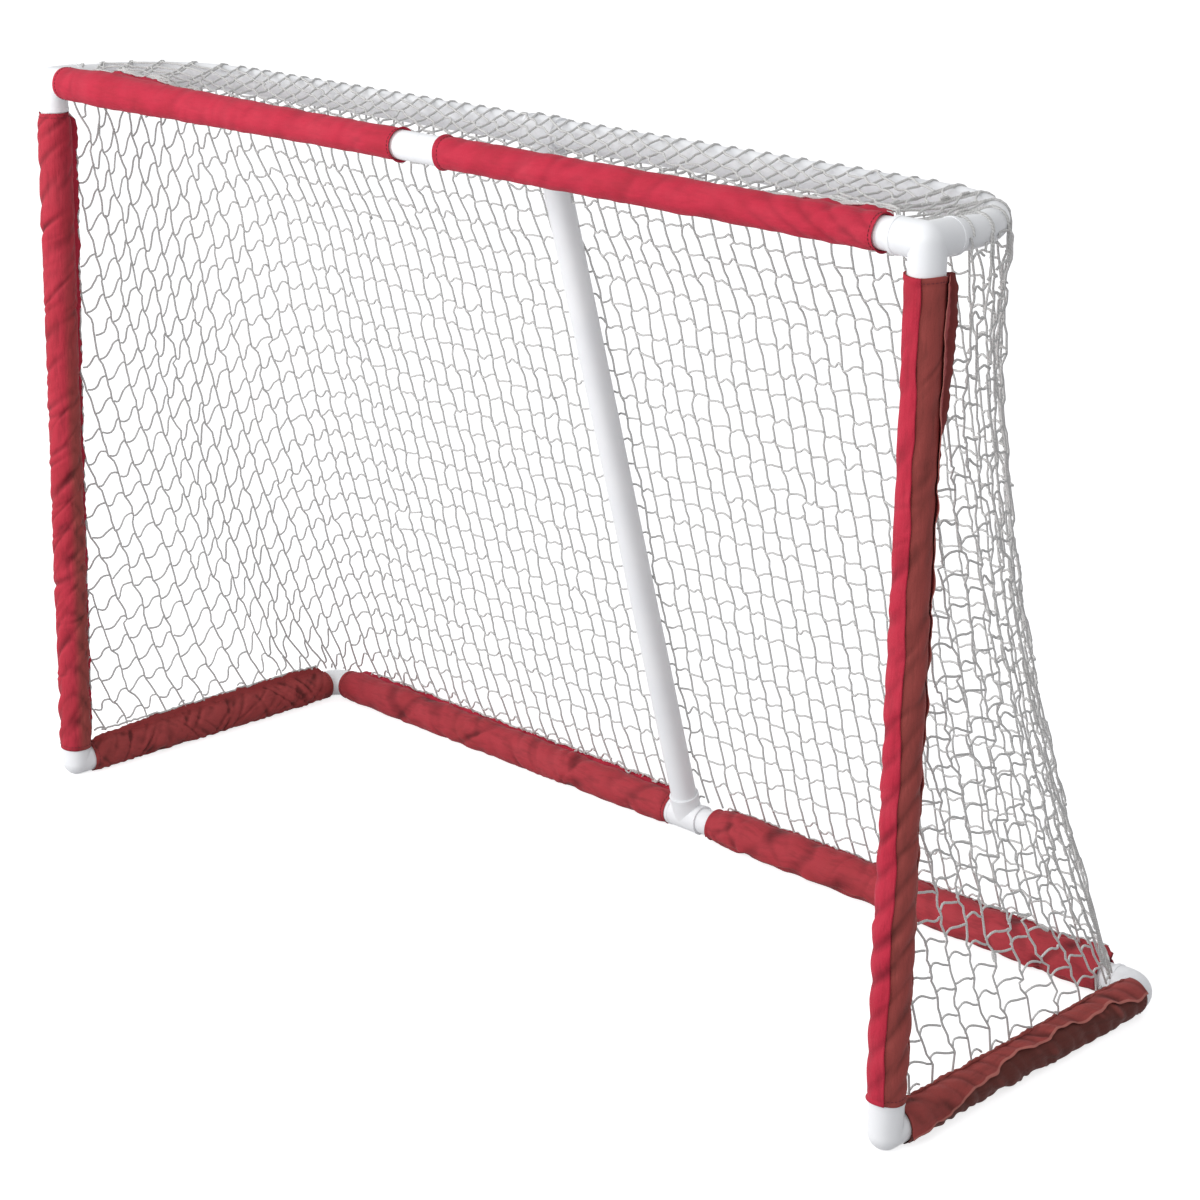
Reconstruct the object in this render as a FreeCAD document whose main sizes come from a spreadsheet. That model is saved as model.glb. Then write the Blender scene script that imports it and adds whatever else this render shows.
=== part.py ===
"""Hockey goal: a push-fit frame of plastic tubes with moulded fittings, fabric sleeves and a net.

Millimetres. +X runs along the crossbar to the right, -Y is the open front, +Z is up.
The origin is on the floor, in the middle of the goal's outline.
"""
import FreeCAD, Part
import math
import os

import Sketcher

Vec = FreeCAD.Vector

# Driving sizes, each written once.
SIZES = {
    "goal_width": 1829.0,          # over the corner fittings
    "goal_height": 1219.0,         # floor to the top of the crossbar fittings
    "base_reach": 590.0,           # post centre to back rail centre
    "top_reach": 240.0,            # crossbar centre to top back tube centre
    "bend_radius": 168.0,          # centre line of the wide bends at the top back corners
    "tube_diameter": 42.2,
    "tube_wall": 3.6,
    "socket_clearance": 0.15,      # tube to socket, on the radius
    "seat_gap": 0.3,               # tube end to socket bottom
    "fitting_wall": 2.4,
    "rim_raise": 0.7,              # bead round each socket mouth
    "rim_width": 6.0,
    "stop_land": 1.0,              # between the tube surface line and the socket bottom
    "corner_socket": 26.0,         # socket depth in the corner fittings and front elbows
    "sweep_socket": 20.0,          # socket depth in the back elbows
    "branch_socket": 20.0,         # socket depth in a tee's branch
    "run_socket": 30.0,            # socket depth in a tee's run
    "run_stop": 3.0,               # half width of the stop rib in a tee's run
    "sweep_radius": 26.0,          # centre line of the back base elbows
    "foot_flat": 0.5,              # depth of the flat under each base fitting
    "coupler_length": 100.0,
    "coupler_wall": 2.6,
    "coupler_clearance": 0.15,
    "crossbar_joint": 0.4,         # gap between the two crossbar halves
    "sleeve_diameter": 52.4,       # crossbar and post sleeves, drawn tight
    "base_sleeve_diameter": 58.0,  # base rail sleeves, which hang loose
    "sleeve_wall": 1.2,
    "sleeve_ease": 0.3,            # sleeve to what it hangs on
    "seam_reach": 43.0,            # tube centre to the tip of the sewn seam flap
    "seam_width": 2.4,             # two layers of fabric and the net's edge
    "crossbar_gap": 90.0,          # bare tube between the crossbar sleeves
    "left_crossbar_bare": 26.0,    # corner centre to sleeve end
    "right_crossbar_bare": 66.0,
    "left_post_bare": 50.0,        # crossbar centre to sleeve end
    "right_post_bare": 40.0,
    "left_post_foot": 26.0,        # side rail centre to sleeve end
    "right_post_foot": 48.0,
    "left_rail_front": 60.0,       # post centre to sleeve end
    "right_rail_front": 72.0,
    "sleeve_end_gap": 0.5,         # base sleeve end to the fitting that it butts
    "right_back_tee": 61.0,        # tee centre to sleeve end
    "right_back_corner": 80.0,     # side rail centre to sleeve end
    "net_thickness": 2.0,
    "net_twine": 3.0,
    "net_ease": 0.3,               # net to what it is laced to
    "net_seam": 0.7,               # half the gap along a fold between two net panels
    "cell_width": 74.0,
    "cell_height": 84.0,
    "cell_waist": 0.82,            # width of a cell's top and bottom against its middle
    "corner_net_foot": 30.0,       # side net to the foot of the fold in the back net
    "corner_net_spread": 70.0,     # height over which the gathered net spreads from the base elbow
    "corner_net_waist": 120.0,     # side net to the fold if it ran down to the foot ungathered
    "corner_net_bow": 57.0,        # how much further in the fold is drawn half way up
    "corner_strips": 4.0,          # flats round each corner net
    "corner_levels": 6.0,          # flats from the gather at its foot to its top
}

doc = FreeCAD.newDocument("hockey_goal")
sheet = doc.addObject("Spreadsheet::Sheet", "Sizes")
for row, (alias, value) in enumerate(SIZES.items(), start=1):
    sheet.set("A%d" % row, alias)
    sheet.set("B%d" % row, str(value))
    sheet.setAlias("B%d" % row, alias)
doc.recompute()


def size(alias):
    """One driving size, as a number."""
    return float(sheet.get(alias))


# Sizes and places worked out from the driving sizes.
TUBE_R = size("tube_diameter") / 2
BORE_R = TUBE_R - size("tube_wall")
SOCKET_R = TUBE_R + size("socket_clearance")
FITTING_R = SOCKET_R + size("fitting_wall")
RIM_R = FITTING_R + size("rim_raise")
NET_STANDOFF = RIM_R + size("net_ease") + size("net_thickness") / 2

STOP = TUBE_R + size("stop_land")
CORNER_ARM = STOP + size("corner_socket")
BRANCH_ARM = STOP + size("branch_socket")
RUN_ARM = size("run_stop") + size("run_socket")
SWEEP_STOP = size("sweep_radius") + size("stop_land")
SWEEP_ARM = SWEEP_STOP + size("sweep_socket")

UP = Vec(0, 0, 1)
DOWN = Vec(0, 0, -1)
BACK = Vec(0, 1, 0)
FRONT = Vec(0, -1, 0)
LEFT = Vec(-1, 0, 0)
RIGHT = Vec(1, 0, 0)

POST_X = size("goal_width") / 2 - RIM_R
RAIL_Z = FITTING_R - size("foot_flat")
BAR_Z = size("goal_height") - RIM_R

# The brace and the back net lean forward together.
BRACE_UP = Vec(0, size("top_reach") - size("base_reach"), BAR_Z - RAIL_Z).normalize()
BRACE_OUT = Vec(0, BRACE_UP.z, -BRACE_UP.y)

# Where the seam flaps point: toward the net that pulls them.
SEAM = size("seam_reach")
SEAM_RUN = math.sqrt(SEAM ** 2 - NET_STANDOFF ** 2)
BACK_RAIL_PULL = (BRACE_OUT * NET_STANDOFF + BRACE_UP * SEAM_RUN).normalize()
CROSSBAR_PULL = Vec(0, SEAM_RUN, NET_STANDOFF).normalize()
FLAP_RISE = size("seam_width") / 2 * NET_STANDOFF / SEAM


def hung(diameter, core):
    """How far off centre a sleeve is pulled on a tube or a fitting's rim, until it touches."""
    return size(diameter) / 2 - size("sleeve_wall") - core - size("sleeve_ease")


# The outline reaches from the crossbar sleeve to the back rail sleeve, and the origin halves it.
FRONT_REACH = size("sleeve_diameter") / 2 - hung("sleeve_diameter", RIM_R) * CROSSBAR_PULL.y
BACK_REACH = size("base_sleeve_diameter") / 2 + hung("base_sleeve_diameter", TUBE_R) * BACK_RAIL_PULL.y
FRONT_Y = (FRONT_REACH - size("base_reach") - BACK_REACH) / 2
BACK_Y = FRONT_Y + size("base_reach")
TOP_BACK_Y = FRONT_Y + size("top_reach")
BRACE_FOOT = Vec(0, BACK_Y, RAIL_Z)
BRACE_HEAD = Vec(0, TOP_BACK_Y, BAR_Z)
SIDE_NET_LOW_Z = RAIL_Z + SEAM + size("net_ease")
BACK_NET_LOW_Z = RAIL_Z + (BACK_RAIL_PULL * SEAM + BRACE_UP * (FLAP_RISE + size("net_ease"))).z
NET_TOP_Z = BAR_Z - RIM_R - size("net_ease")

parts_made = []


def keep(obj, label):
    """Marks a document object as a finished sub-part."""
    obj.Label = label
    parts_made.append(obj)
    return obj


def aimed(start, along, toward=None):
    """Placement with local Z along a direction and, if given, local X toward another."""
    if toward is None:
        return FreeCAD.Placement(start, FreeCAD.Rotation(UP, along))
    return FreeCAD.Placement(start, FreeCAD.Rotation(toward, along.cross(toward), along, "ZXY"))


def origin_plane(body, role):
    """One of a body's own origin planes."""
    return next(f for f in body.Origin.OriginFeatures if f.Role == role)


def circle(sketch, centre_x, radius, expression, name):
    """A circle on the sketch's X axis whose radius follows a size."""
    index = sketch.addGeometry(Part.Circle(Vec(centre_x, 0, 0), UP, radius), False)
    rule = sketch.addConstraint(Sketcher.Constraint("Radius", index, radius))
    sketch.renameConstraint(rule, name)
    sketch.setExpression("Constraints." + name, expression)
    sketch.addConstraint(Sketcher.Constraint("PointOnObject", index, 3, -1))
    rule = sketch.addConstraint(Sketcher.Constraint("DistanceX", -1, 1, index, 3, centre_x))
    sketch.renameConstraint(rule, name + "_centre")
    return index


def pad(body, sketch, name, length):
    """Pads a sketch by a plain length."""
    feature = body.newObject("PartDesign::Pad", name)
    feature.Profile = sketch
    feature.Length = length
    return feature


def straight_tube(label, start, end, outer="Sizes.tube_diameter / 2", wall="Sizes.tube_wall"):
    """A plain round tube from one point to another."""
    run = end - start
    body = doc.addObject("PartDesign::Body", label + "_body")
    section = body.newObject("Sketcher::SketchObject", label + "_section")
    section.AttachmentSupport = (origin_plane(body, "XY_Plane"), [""])
    section.MapMode = "FlatFace"
    circle(section, 0, TUBE_R, outer, "outer_radius")
    circle(section, 0, BORE_R, "%s - %s" % (outer, wall), "bore_radius")
    pad(body, section, label + "_pad", run.Length)
    body.Placement = aimed(start, run)
    return keep(body, label)


def cylinder(name, radius, length, start, along):
    """A cylinder whose radius is an expression of the sheet."""
    obj = doc.addObject("Part::Cylinder", name)
    obj.setExpression("Radius", radius)
    obj.Height = length
    obj.Placement = aimed(start, along)
    return obj


def ball(name, radius, centre, pole, toward):
    """A sphere whose radius is an expression of the sheet, turned with the arms that meet in it."""
    obj = doc.addObject("Part::Sphere", name)
    obj.setExpression("Radius", radius)
    obj.Placement = aimed(centre, pole, toward)
    return obj


def quarter_ring(name, radius, bend, centre, turn):
    """A quarter of a ring in the level plane; turn is where it starts, in degrees."""
    obj = doc.addObject("Part::Torus", name)
    obj.setExpression("Radius1", bend)
    obj.setExpression("Radius2", radius)
    obj.Angle3 = 90
    obj.Placement = FreeCAD.Placement(centre, FreeCAD.Rotation(UP, turn))
    return obj


def fused(name, pieces):
    """One solid of several overlapping ones."""
    obj = doc.addObject("Part::MultiFuse", name)
    obj.Shapes = pieces
    obj.Refine = True
    return obj


def cut(name, base, tool):
    """Base less tool."""
    obj = doc.addObject("Part::Cut", name)
    obj.Base = base
    obj.Tool = tool
    return obj


FITTING_RADIUS = "Sizes.tube_diameter / 2 + Sizes.socket_clearance + Sizes.fitting_wall"
RIM_RADIUS = FITTING_RADIUS + " + Sizes.rim_raise"
SOCKET_RADIUS = "Sizes.tube_diameter / 2 + Sizes.socket_clearance"
BORE_RADIUS = "Sizes.tube_diameter / 2 - Sizes.tube_wall"


def fitting_arm(label, number, centre, along, arm, stop):
    """The outside and the hollow of one arm: body, rim bead, socket and bore."""
    tag = "%s_arm%d" % (label, number)
    rim = size("rim_width")
    outside = [
        cylinder(tag + "_wall", FITTING_RADIUS, arm, centre, along),
        cylinder(tag + "_rim", RIM_RADIUS, rim, centre + along * (arm - rim), along),
    ]
    hollow = [
        cylinder(tag + "_bore", BORE_RADIUS, stop, centre, along),
        cylinder(tag + "_socket", SOCKET_RADIUS, arm - stop, centre + along * stop, along),
    ]
    return outside, hollow


def foot_flat(label, solid, centre):
    """Takes the thin resting flat off the underside of a base fitting."""
    reach = SWEEP_ARM + RIM_R
    floor_block = doc.addObject("Part::Box", label + "_floor")
    floor_block.Length = 2 * reach
    floor_block.Width = 2 * reach
    floor_block.Height = RIM_R
    floor_block.Placement.Base = Vec(centre.x - reach, centre.y - reach, -RIM_R)
    return cut(label + "_flatted", solid, floor_block)


def ball_fitting(label, centre, arms, on_floor=False):
    """A corner fitting whose arms, along the given directions, meet in a ball."""
    outside = [ball(label + "_ball", FITTING_RADIUS, centre, arms[-1], arms[0])]
    hollow = [ball(label + "_hollow_ball", BORE_RADIUS, centre, arms[-1], arms[0])]
    for number, along in enumerate(arms):
        walls, holes = fitting_arm(label, number, centre, along, CORNER_ARM, STOP)
        outside += walls
        hollow += holes
    shell = cut(label + "_shell", fused(label + "_outside", outside), fused(label + "_inside", hollow))
    return keep(foot_flat(label, shell, centre) if on_floor else shell, label)


def tee(label, centre, branch, on_floor=False):
    """A tee with a straight level run, a stop rib in its middle, and a branch."""
    run_stop, rim = size("run_stop"), size("rim_width")
    start = centre + LEFT * RUN_ARM
    outside = [cylinder(label + "_run_wall", FITTING_RADIUS, 2 * RUN_ARM, start, RIGHT)]
    hollow = [cylinder(label + "_run_bore", BORE_RADIUS, 2 * RUN_ARM, start, RIGHT)]
    for side, hand in ((-1, "left"), (1, "right")):
        along = Vec(side, 0, 0)
        outside.append(
            cylinder("%s_%s_rim" % (label, hand), RIM_RADIUS, rim, centre + along * (RUN_ARM - rim), along))
        hollow.append(
            cylinder("%s_%s_socket" % (label, hand), SOCKET_RADIUS, RUN_ARM - run_stop,
                     centre + along * run_stop, along))
    walls, holes = fitting_arm(label, 0, centre, branch, BRANCH_ARM, STOP)
    shell = cut(label + "_shell", fused(label + "_outside", outside + walls),
                fused(label + "_inside", hollow + holes))
    return keep(foot_flat(label, shell, centre) if on_floor else shell, label)


def swept_elbow(label, corner, side):
    """A base elbow with a swept bend, from a side rail (front) to the back rail (inward)."""
    bend = size("sweep_radius")
    inward = Vec(-side, 0, 0)
    middle = corner + FRONT * bend + inward * bend
    turn = 0 if side > 0 else 90
    outside = [quarter_ring(label + "_bend", FITTING_RADIUS, "Sizes.sweep_radius", middle, turn)]
    hollow = [quarter_ring(label + "_bend_bore", BORE_RADIUS, "Sizes.sweep_radius", middle, turn)]
    for number, along in enumerate((FRONT, inward)):
        start = corner + along * bend
        walls, holes = fitting_arm(
            label, number, start, along, SWEEP_ARM - bend, SWEEP_STOP - bend)
        outside += walls
        hollow += holes
    shell = cut(label + "_shell", fused(label + "_outside", outside), fused(label + "_inside", hollow))
    return keep(foot_flat(label, shell, corner), label)


def bent_tube(label, side):
    """A top tube: back from the corner fitting, round the wide bend, in to the top tee."""
    bend = size("bend_radius")
    inward = Vec(-side, 0, 0)
    corner = Vec(side * POST_X, TOP_BACK_Y, BAR_Z)
    middle = corner + FRONT * bend + inward * bend
    turn = 0 if side > 0 else 90
    side_start = Vec(corner.x, FRONT_Y + STOP + size("seat_gap"), BAR_Z)
    side_length = size("top_reach") - bend - STOP - size("seat_gap")
    back_start = corner + inward * bend
    back_length = POST_X - bend - size("run_stop") - size("seat_gap")
    solids = []
    for kind, radius in (("outer", "Sizes.tube_diameter / 2"), ("bore", BORE_RADIUS)):
        solids.append(fused("%s_%s" % (label, kind), [
            cylinder("%s_%s_side" % (label, kind), radius, side_length, side_start, BACK),
            quarter_ring("%s_%s_bend" % (label, kind), radius, "Sizes.bend_radius", middle, turn),
            cylinder("%s_%s_back" % (label, kind), radius, back_length, back_start, inward),
        ]))
    return keep(cut(label + "_tube", solids[0], solids[1]), label)


def sleeve(label, start, end, pull, core, diameter="sleeve_diameter"):
    """A wrapped fabric sleeve: a loose round tube that hangs off centre on its core, the tube or a
    fitting's rim, with its sewn seam flap on the side that the net pulls."""
    run = end - start
    offset = hung(diameter, core)
    radius = size(diameter) / 2
    body = doc.addObject("PartDesign::Body", label + "_body")
    section = body.newObject("Sketcher::SketchObject", label + "_section")
    section.AttachmentSupport = (origin_plane(body, "XY_Plane"), [""])
    section.MapMode = "FlatFace"
    circle(section, offset, radius, "Sizes.%s / 2" % diameter, "outer_radius")
    circle(section, offset, radius - size("sleeve_wall"),
           "Sizes.%s / 2 - Sizes.sleeve_wall" % diameter, "inner_radius")
    pad(body, section, label + "_wrap", run.Length)
    flap = body.newObject("Sketcher::SketchObject", label + "_flap_section")
    flap.AttachmentSupport = (origin_plane(body, "XY_Plane"), [""])
    flap.MapMode = "FlatFace"
    root = offset + radius - size("sleeve_wall") / 2
    tip = size("seam_reach")
    half = size("seam_width") / 2
    corners = [Vec(root, -half, 0), Vec(tip, -half, 0), Vec(tip, half, 0), Vec(root, half, 0)]
    for number, corner in enumerate(corners):
        flap.addGeometry(Part.LineSegment(corner, corners[(number + 1) % 4]), False)
    for number in range(4):
        flap.addConstraint(Sketcher.Constraint("Coincident", number, 2, (number + 1) % 4, 1))
    flap.addConstraint(Sketcher.Constraint("Horizontal", 0))
    flap.addConstraint(Sketcher.Constraint("Horizontal", 2))
    flap.addConstraint(Sketcher.Constraint("Vertical", 1))
    flap.addConstraint(Sketcher.Constraint("Vertical", 3))
    for name, rule, expression in (
        ("flap_width", Sketcher.Constraint("DistanceY", 1, 1, 1, 2, 2 * half), "Sizes.seam_width"),
        ("flap_half", Sketcher.Constraint("DistanceY", -1, 1, 1, 2, half), "Sizes.seam_width / 2"),
        ("flap_tip", Sketcher.Constraint("DistanceX", -1, 1, 1, 1, tip), "Sizes.seam_reach"),
        ("flap_root", Sketcher.Constraint("DistanceX", -1, 1, 0, 1, root), None),
    ):
        index = flap.addConstraint(rule)
        flap.renameConstraint(index, name)
        if expression:
            flap.setExpression("Constraints." + name, expression)
    pad(body, flap, label + "_flap", run.Length)
    body.Placement = aimed(start, run, pull)
    return keep(body, label)


def wire(points):
    """A closed wire through points."""
    return Part.makePolygon(list(points) + [points[0]])


def cells(outline):
    """The open cells of the net inside a flat level outline: tall six-sided cells between twines,
    every second column half a cell higher."""
    room = outline.makeOffset2D(-size("net_twine"), 2)
    box = room.BoundBox
    columns = max(1, round(box.XLength / size("cell_width")))
    rows = max(1, round(box.YLength / size("cell_height")))
    step_x, step_y = box.XLength / columns, box.YLength / rows
    middle = step_x / (1 + size("cell_waist")) - size("net_twine") / 2
    narrow = middle * size("cell_waist")
    tall = (step_y - size("net_twine")) / 2
    grid = []
    for column in range(-1, columns + 1):
        for row in range(-1, rows + 1):
            x = box.XMin + (column + 0.5) * step_x
            y = box.YMin + (row + 0.5 + 0.5 * (column % 2)) * step_y
            six = [(-narrow, -tall), (narrow, -tall), (middle, 0), (narrow, tall), (-narrow, tall), (-middle, 0)]
            grid.append(Part.Face(wire([Vec(x + dx, y + dy, 0) for dx, dy in six])))
    least = (2 * size("net_twine")) ** 2
    return [face for face in Part.makeCompound(grid).common(room).Faces if face.Area > least]


def net_panel(label, corners, across, up):
    """A flat net: one face with an opening for each cell, as thick as the twine. corners are points in
    space, anticlockwise as seen with across to the right and up upward."""
    base = corners[0]
    flat = Part.Face(wire([Vec((p - base).dot(across), (p - base).dot(up), 0) for p in corners]))
    holed = flat.cut(Part.makeCompound(cells(flat))).Faces[0]
    holed.translate(DOWN * (size("net_thickness") / 2))
    obj = doc.addObject("Part::Feature", label + "_net")
    obj.Shape = holed.extrude(UP * size("net_thickness"))
    obj.Placement = aimed(base, across.cross(up), across)
    return keep(obj, label)


def back_net_y(z):
    """Where the back net's middle plane is at a height."""
    return BACK_Y + (NET_STANDOFF - (z - RAIL_Z) * BRACE_OUT.z) / BRACE_OUT.y


def corner_reach(z):
    """How far in from the side net's plane the fold with the back net is at a height: gathered at the
    base elbow, and above it drawn in on the way up to the start of the wide bend."""
    low, high, bow = size("corner_net_waist"), size("bend_radius"), size("corner_net_bow")
    share = (z - SIDE_NET_LOW_Z) / (NET_TOP_Z - SIDE_NET_LOW_Z)
    open_reach = low + (high - low) * share + 4 * bow * share * (1 - share)
    gathered = max(0, 1 - (z - SIDE_NET_LOW_Z) / size("corner_net_spread"))
    return open_reach + (size("corner_net_foot") - open_reach) * gathered


# The corner keeps its shape at every height, so its flats stay flat.
CORNER_SLANT = (back_net_y(NET_TOP_Z) - TOP_BACK_Y) / size("bend_radius") + 1
SPREAD_Z = SIDE_NET_LOW_Z + size("corner_net_spread")
CORNER_LEVELS = [SIDE_NET_LOW_Z] + [
    SPREAD_Z + (NET_TOP_Z - SPREAD_Z) * n / size("corner_levels")
    for n in range(int(size("corner_levels")) + 1)]


def corner_rim(side, z):
    """The corner net's level section at a height, from the side net round to the back net."""
    reach = corner_reach(z) - size("net_seam")
    points = []
    for number in range(int(size("corner_strips")) + 1):
        turn = math.radians(90 * number / size("corner_strips"))
        points.append(Vec(side * (POST_X - reach * (1 - math.cos(turn))),
                          back_net_y(z) - reach * CORNER_SLANT * (1 - math.sin(turn)), z))
    return points


def corner_net(label, side):
    """The net between side and back: flats round the corner, wide under the bend and narrow at the
    base elbow, with the cells cut through them."""
    outward = Vec(side, 1, 0).normalize()
    along = Vec(-side, 1, 0).normalize()
    rims = [corner_rim(side, z) for z in CORNER_LEVELS]
    flats = []
    for low, high in zip(rims, rims[1:]):
        for n in range(len(low) - 1):
            flats.append(Part.Face(wire([low[n], low[n + 1], high[n + 1], high[n]])))
    edge = [rim[0] for rim in rims] + [rim[-1] for rim in reversed(rims)]
    outline = Part.Face(wire([Vec(p.dot(along), p.z, 0) for p in edge]))
    reach = size("goal_width")
    facing = aimed(Vec(0, 0, 0), along.cross(UP), along)
    drills = [face.transformed(facing.toMatrix()) for face in cells(outline)]
    drills = [face.translated(outward * -reach).extrude(outward * 2 * reach) for face in drills]
    holed = Part.makeShell(flats).cut(Part.makeCompound(drills))
    holed.translate(outward * (-size("net_thickness") / 2))
    slabs = [face.extrude(outward * size("net_thickness")) for face in holed.Faces]
    obj = doc.addObject("Part::Feature", label + "_net")
    obj.Shape = slabs[0].fuse(slabs[1:]).removeSplitter()
    return keep(obj, label)


# Fittings.
for side, hand in ((-1, "left"), (1, "right")):
    inward = Vec(-side, 0, 0)
    ball_fitting("top_%s_corner_fitting" % hand, Vec(side * POST_X, FRONT_Y, BAR_Z),
                 [inward, DOWN, BACK])
    ball_fitting("front_%s_base_elbow" % hand, Vec(side * POST_X, FRONT_Y, RAIL_Z),
                 [UP, BACK], on_floor=True)
    swept_elbow("back_%s_base_elbow" % hand, Vec(side * POST_X, BACK_Y, RAIL_Z), side)

tee("top_tee", BRACE_HEAD, BRACE_UP * -1)
tee("base_tee", BRACE_FOOT, BRACE_UP, on_floor=True)

# Tubes.
SEATED = STOP + size("seat_gap")
SWEEP_SEATED = SWEEP_STOP + size("seat_gap")
RUN_SEATED = size("run_stop") + size("seat_gap")
for side, hand in ((-1, "left"), (1, "right")):
    straight_tube("%s_crossbar_tube" % hand,
                  Vec(side * size("crossbar_joint") / 2, FRONT_Y, BAR_Z),
                  Vec(side * (POST_X - SEATED), FRONT_Y, BAR_Z))
    straight_tube("%s_post_tube" % hand,
                  Vec(side * POST_X, FRONT_Y, RAIL_Z + SEATED),
                  Vec(side * POST_X, FRONT_Y, BAR_Z - SEATED))
    straight_tube("%s_side_rail_tube" % hand,
                  Vec(side * POST_X, FRONT_Y + SEATED, RAIL_Z),
                  Vec(side * POST_X, BACK_Y - SWEEP_SEATED, RAIL_Z))
    straight_tube("%s_back_rail_tube" % hand,
                  Vec(side * RUN_SEATED, BACK_Y, RAIL_Z),
                  Vec(side * (POST_X - SWEEP_SEATED), BACK_Y, RAIL_Z))
    bent_tube("%s_top_bent_tube" % hand, side)
straight_tube("centre_brace_tube", BRACE_FOOT + BRACE_UP * SEATED, BRACE_HEAD - BRACE_UP * SEATED)
straight_tube("crossbar_coupler",
              Vec(-size("coupler_length") / 2, FRONT_Y, BAR_Z),
              Vec(size("coupler_length") / 2, FRONT_Y, BAR_Z),
              BORE_RADIUS + " - Sizes.coupler_clearance", "Sizes.coupler_wall")

# Sleeves.
gap = size("crossbar_gap") / 2
sleeve("left_crossbar_sleeve", Vec(-POST_X + size("left_crossbar_bare"), FRONT_Y, BAR_Z),
       Vec(-gap, FRONT_Y, BAR_Z), CROSSBAR_PULL, RIM_R)
sleeve("right_crossbar_sleeve", Vec(gap, FRONT_Y, BAR_Z),
       Vec(POST_X - size("right_crossbar_bare"), FRONT_Y, BAR_Z), CROSSBAR_PULL, TUBE_R)
for side, hand in ((-1, "left"), (1, "right")):
    x = side * POST_X
    sleeve("%s_post_sleeve" % hand,
           Vec(x, FRONT_Y, RAIL_Z + size(hand + "_post_foot")),
           Vec(x, FRONT_Y, BAR_Z - size(hand + "_post_bare")), BACK, RIM_R)
    sleeve("%s_side_rail_sleeve" % hand,
           Vec(x, FRONT_Y + size(hand + "_rail_front"), RAIL_Z),
           Vec(x, BACK_Y - SWEEP_ARM - size("sleeve_end_gap"), RAIL_Z), UP, TUBE_R, "base_sleeve_diameter")
sleeve("left_back_rail_sleeve", Vec(-POST_X + SWEEP_ARM + size("sleeve_end_gap"), BACK_Y, RAIL_Z),
       Vec(-RUN_ARM - size("sleeve_end_gap"), BACK_Y, RAIL_Z),
       BACK_RAIL_PULL, TUBE_R, "base_sleeve_diameter")
sleeve("right_back_rail_sleeve", Vec(size("right_back_tee"), BACK_Y, RAIL_Z),
       Vec(POST_X - size("right_back_corner"), BACK_Y, RAIL_Z),
       BACK_RAIL_PULL, TUBE_R, "base_sleeve_diameter")

# Net.
bend = size("bend_radius")
fold = size("net_seam")
edge_y = FRONT_Y + SEAM + size("net_ease")
top_level = BAR_Z + NET_STANDOFF
top_front = FRONT_Y + SEAM_RUN + FLAP_RISE + size("net_ease")
chamfer = bend * (1 - math.sqrt(0.5))
net_panel("top_net", [
    Vec(-POST_X, top_front, top_level), Vec(POST_X, top_front, top_level),
    Vec(POST_X, TOP_BACK_Y - bend, top_level),
    Vec(POST_X - chamfer, TOP_BACK_Y - chamfer, top_level),
    Vec(POST_X - bend, TOP_BACK_Y, top_level), Vec(-POST_X + bend, TOP_BACK_Y, top_level),
    Vec(-POST_X + chamfer, TOP_BACK_Y - chamfer, top_level),
    Vec(-POST_X, TOP_BACK_Y - bend, top_level),
], RIGHT, BACK)
fold_levels = [BACK_NET_LOW_Z] + CORNER_LEVELS[1:] + [BAR_Z]
right_fold = [Vec(POST_X - corner_reach(z) - fold, back_net_y(z), z) for z in fold_levels]
left_fold = [Vec(-p.x, p.y, p.z) for p in right_fold]
net_panel("back_net", right_fold[:1] + left_fold + right_fold[:0:-1], LEFT, BRACE_UP)
side_fold = [
    (back_net_y(z) - CORNER_SLANT * corner_reach(z) - fold, z) for z in CORNER_LEVELS]
for side, hand in ((-1, "left"), (1, "right")):
    x = side * POST_X
    corners = [Vec(x, edge_y, SIDE_NET_LOW_Z)] + [Vec(x, y, z) for y, z in side_fold]
    net_panel("%s_side_net" % hand, corners + [Vec(x, edge_y, NET_TOP_Z)], BACK, UP)
    corner_net("%s_corner_net" % hand, side)

doc.recompute()

# Every object must be sound before anything is written.
for obj in doc.Objects:
    if "Invalid" in obj.State or "Error" in obj.State:
        raise RuntimeError("%s failed: %s" % (obj.Name, obj.State))
for obj in parts_made:
    shape = obj.Shape
    if shape.isNull() or not shape.isValid() or not shape.Solids:
        raise RuntimeError("%s has no sound shape" % obj.Label)

os.makedirs("parts", exist_ok=True)
for obj in parts_made:
    obj.Shape.exportStep("parts/%s.step" % obj.Label)
    box = obj.Shape.BoundBox
    print("%-28s solids %d volume %10.0f  x %7.1f %7.1f  y %7.1f %7.1f  z %7.1f %7.1f" % (
        obj.Label, len(obj.Shape.Solids), obj.Shape.Volume,
        box.XMin, box.XMax, box.YMin, box.YMax, box.ZMin, box.ZMax))
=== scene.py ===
"""Hockey goal: plastic frame, wrapped fabric sleeves and a twine net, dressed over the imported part.

Metres. +X runs along the crossbar to the right, -Y is the open front, +Z is up.
"""

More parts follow.
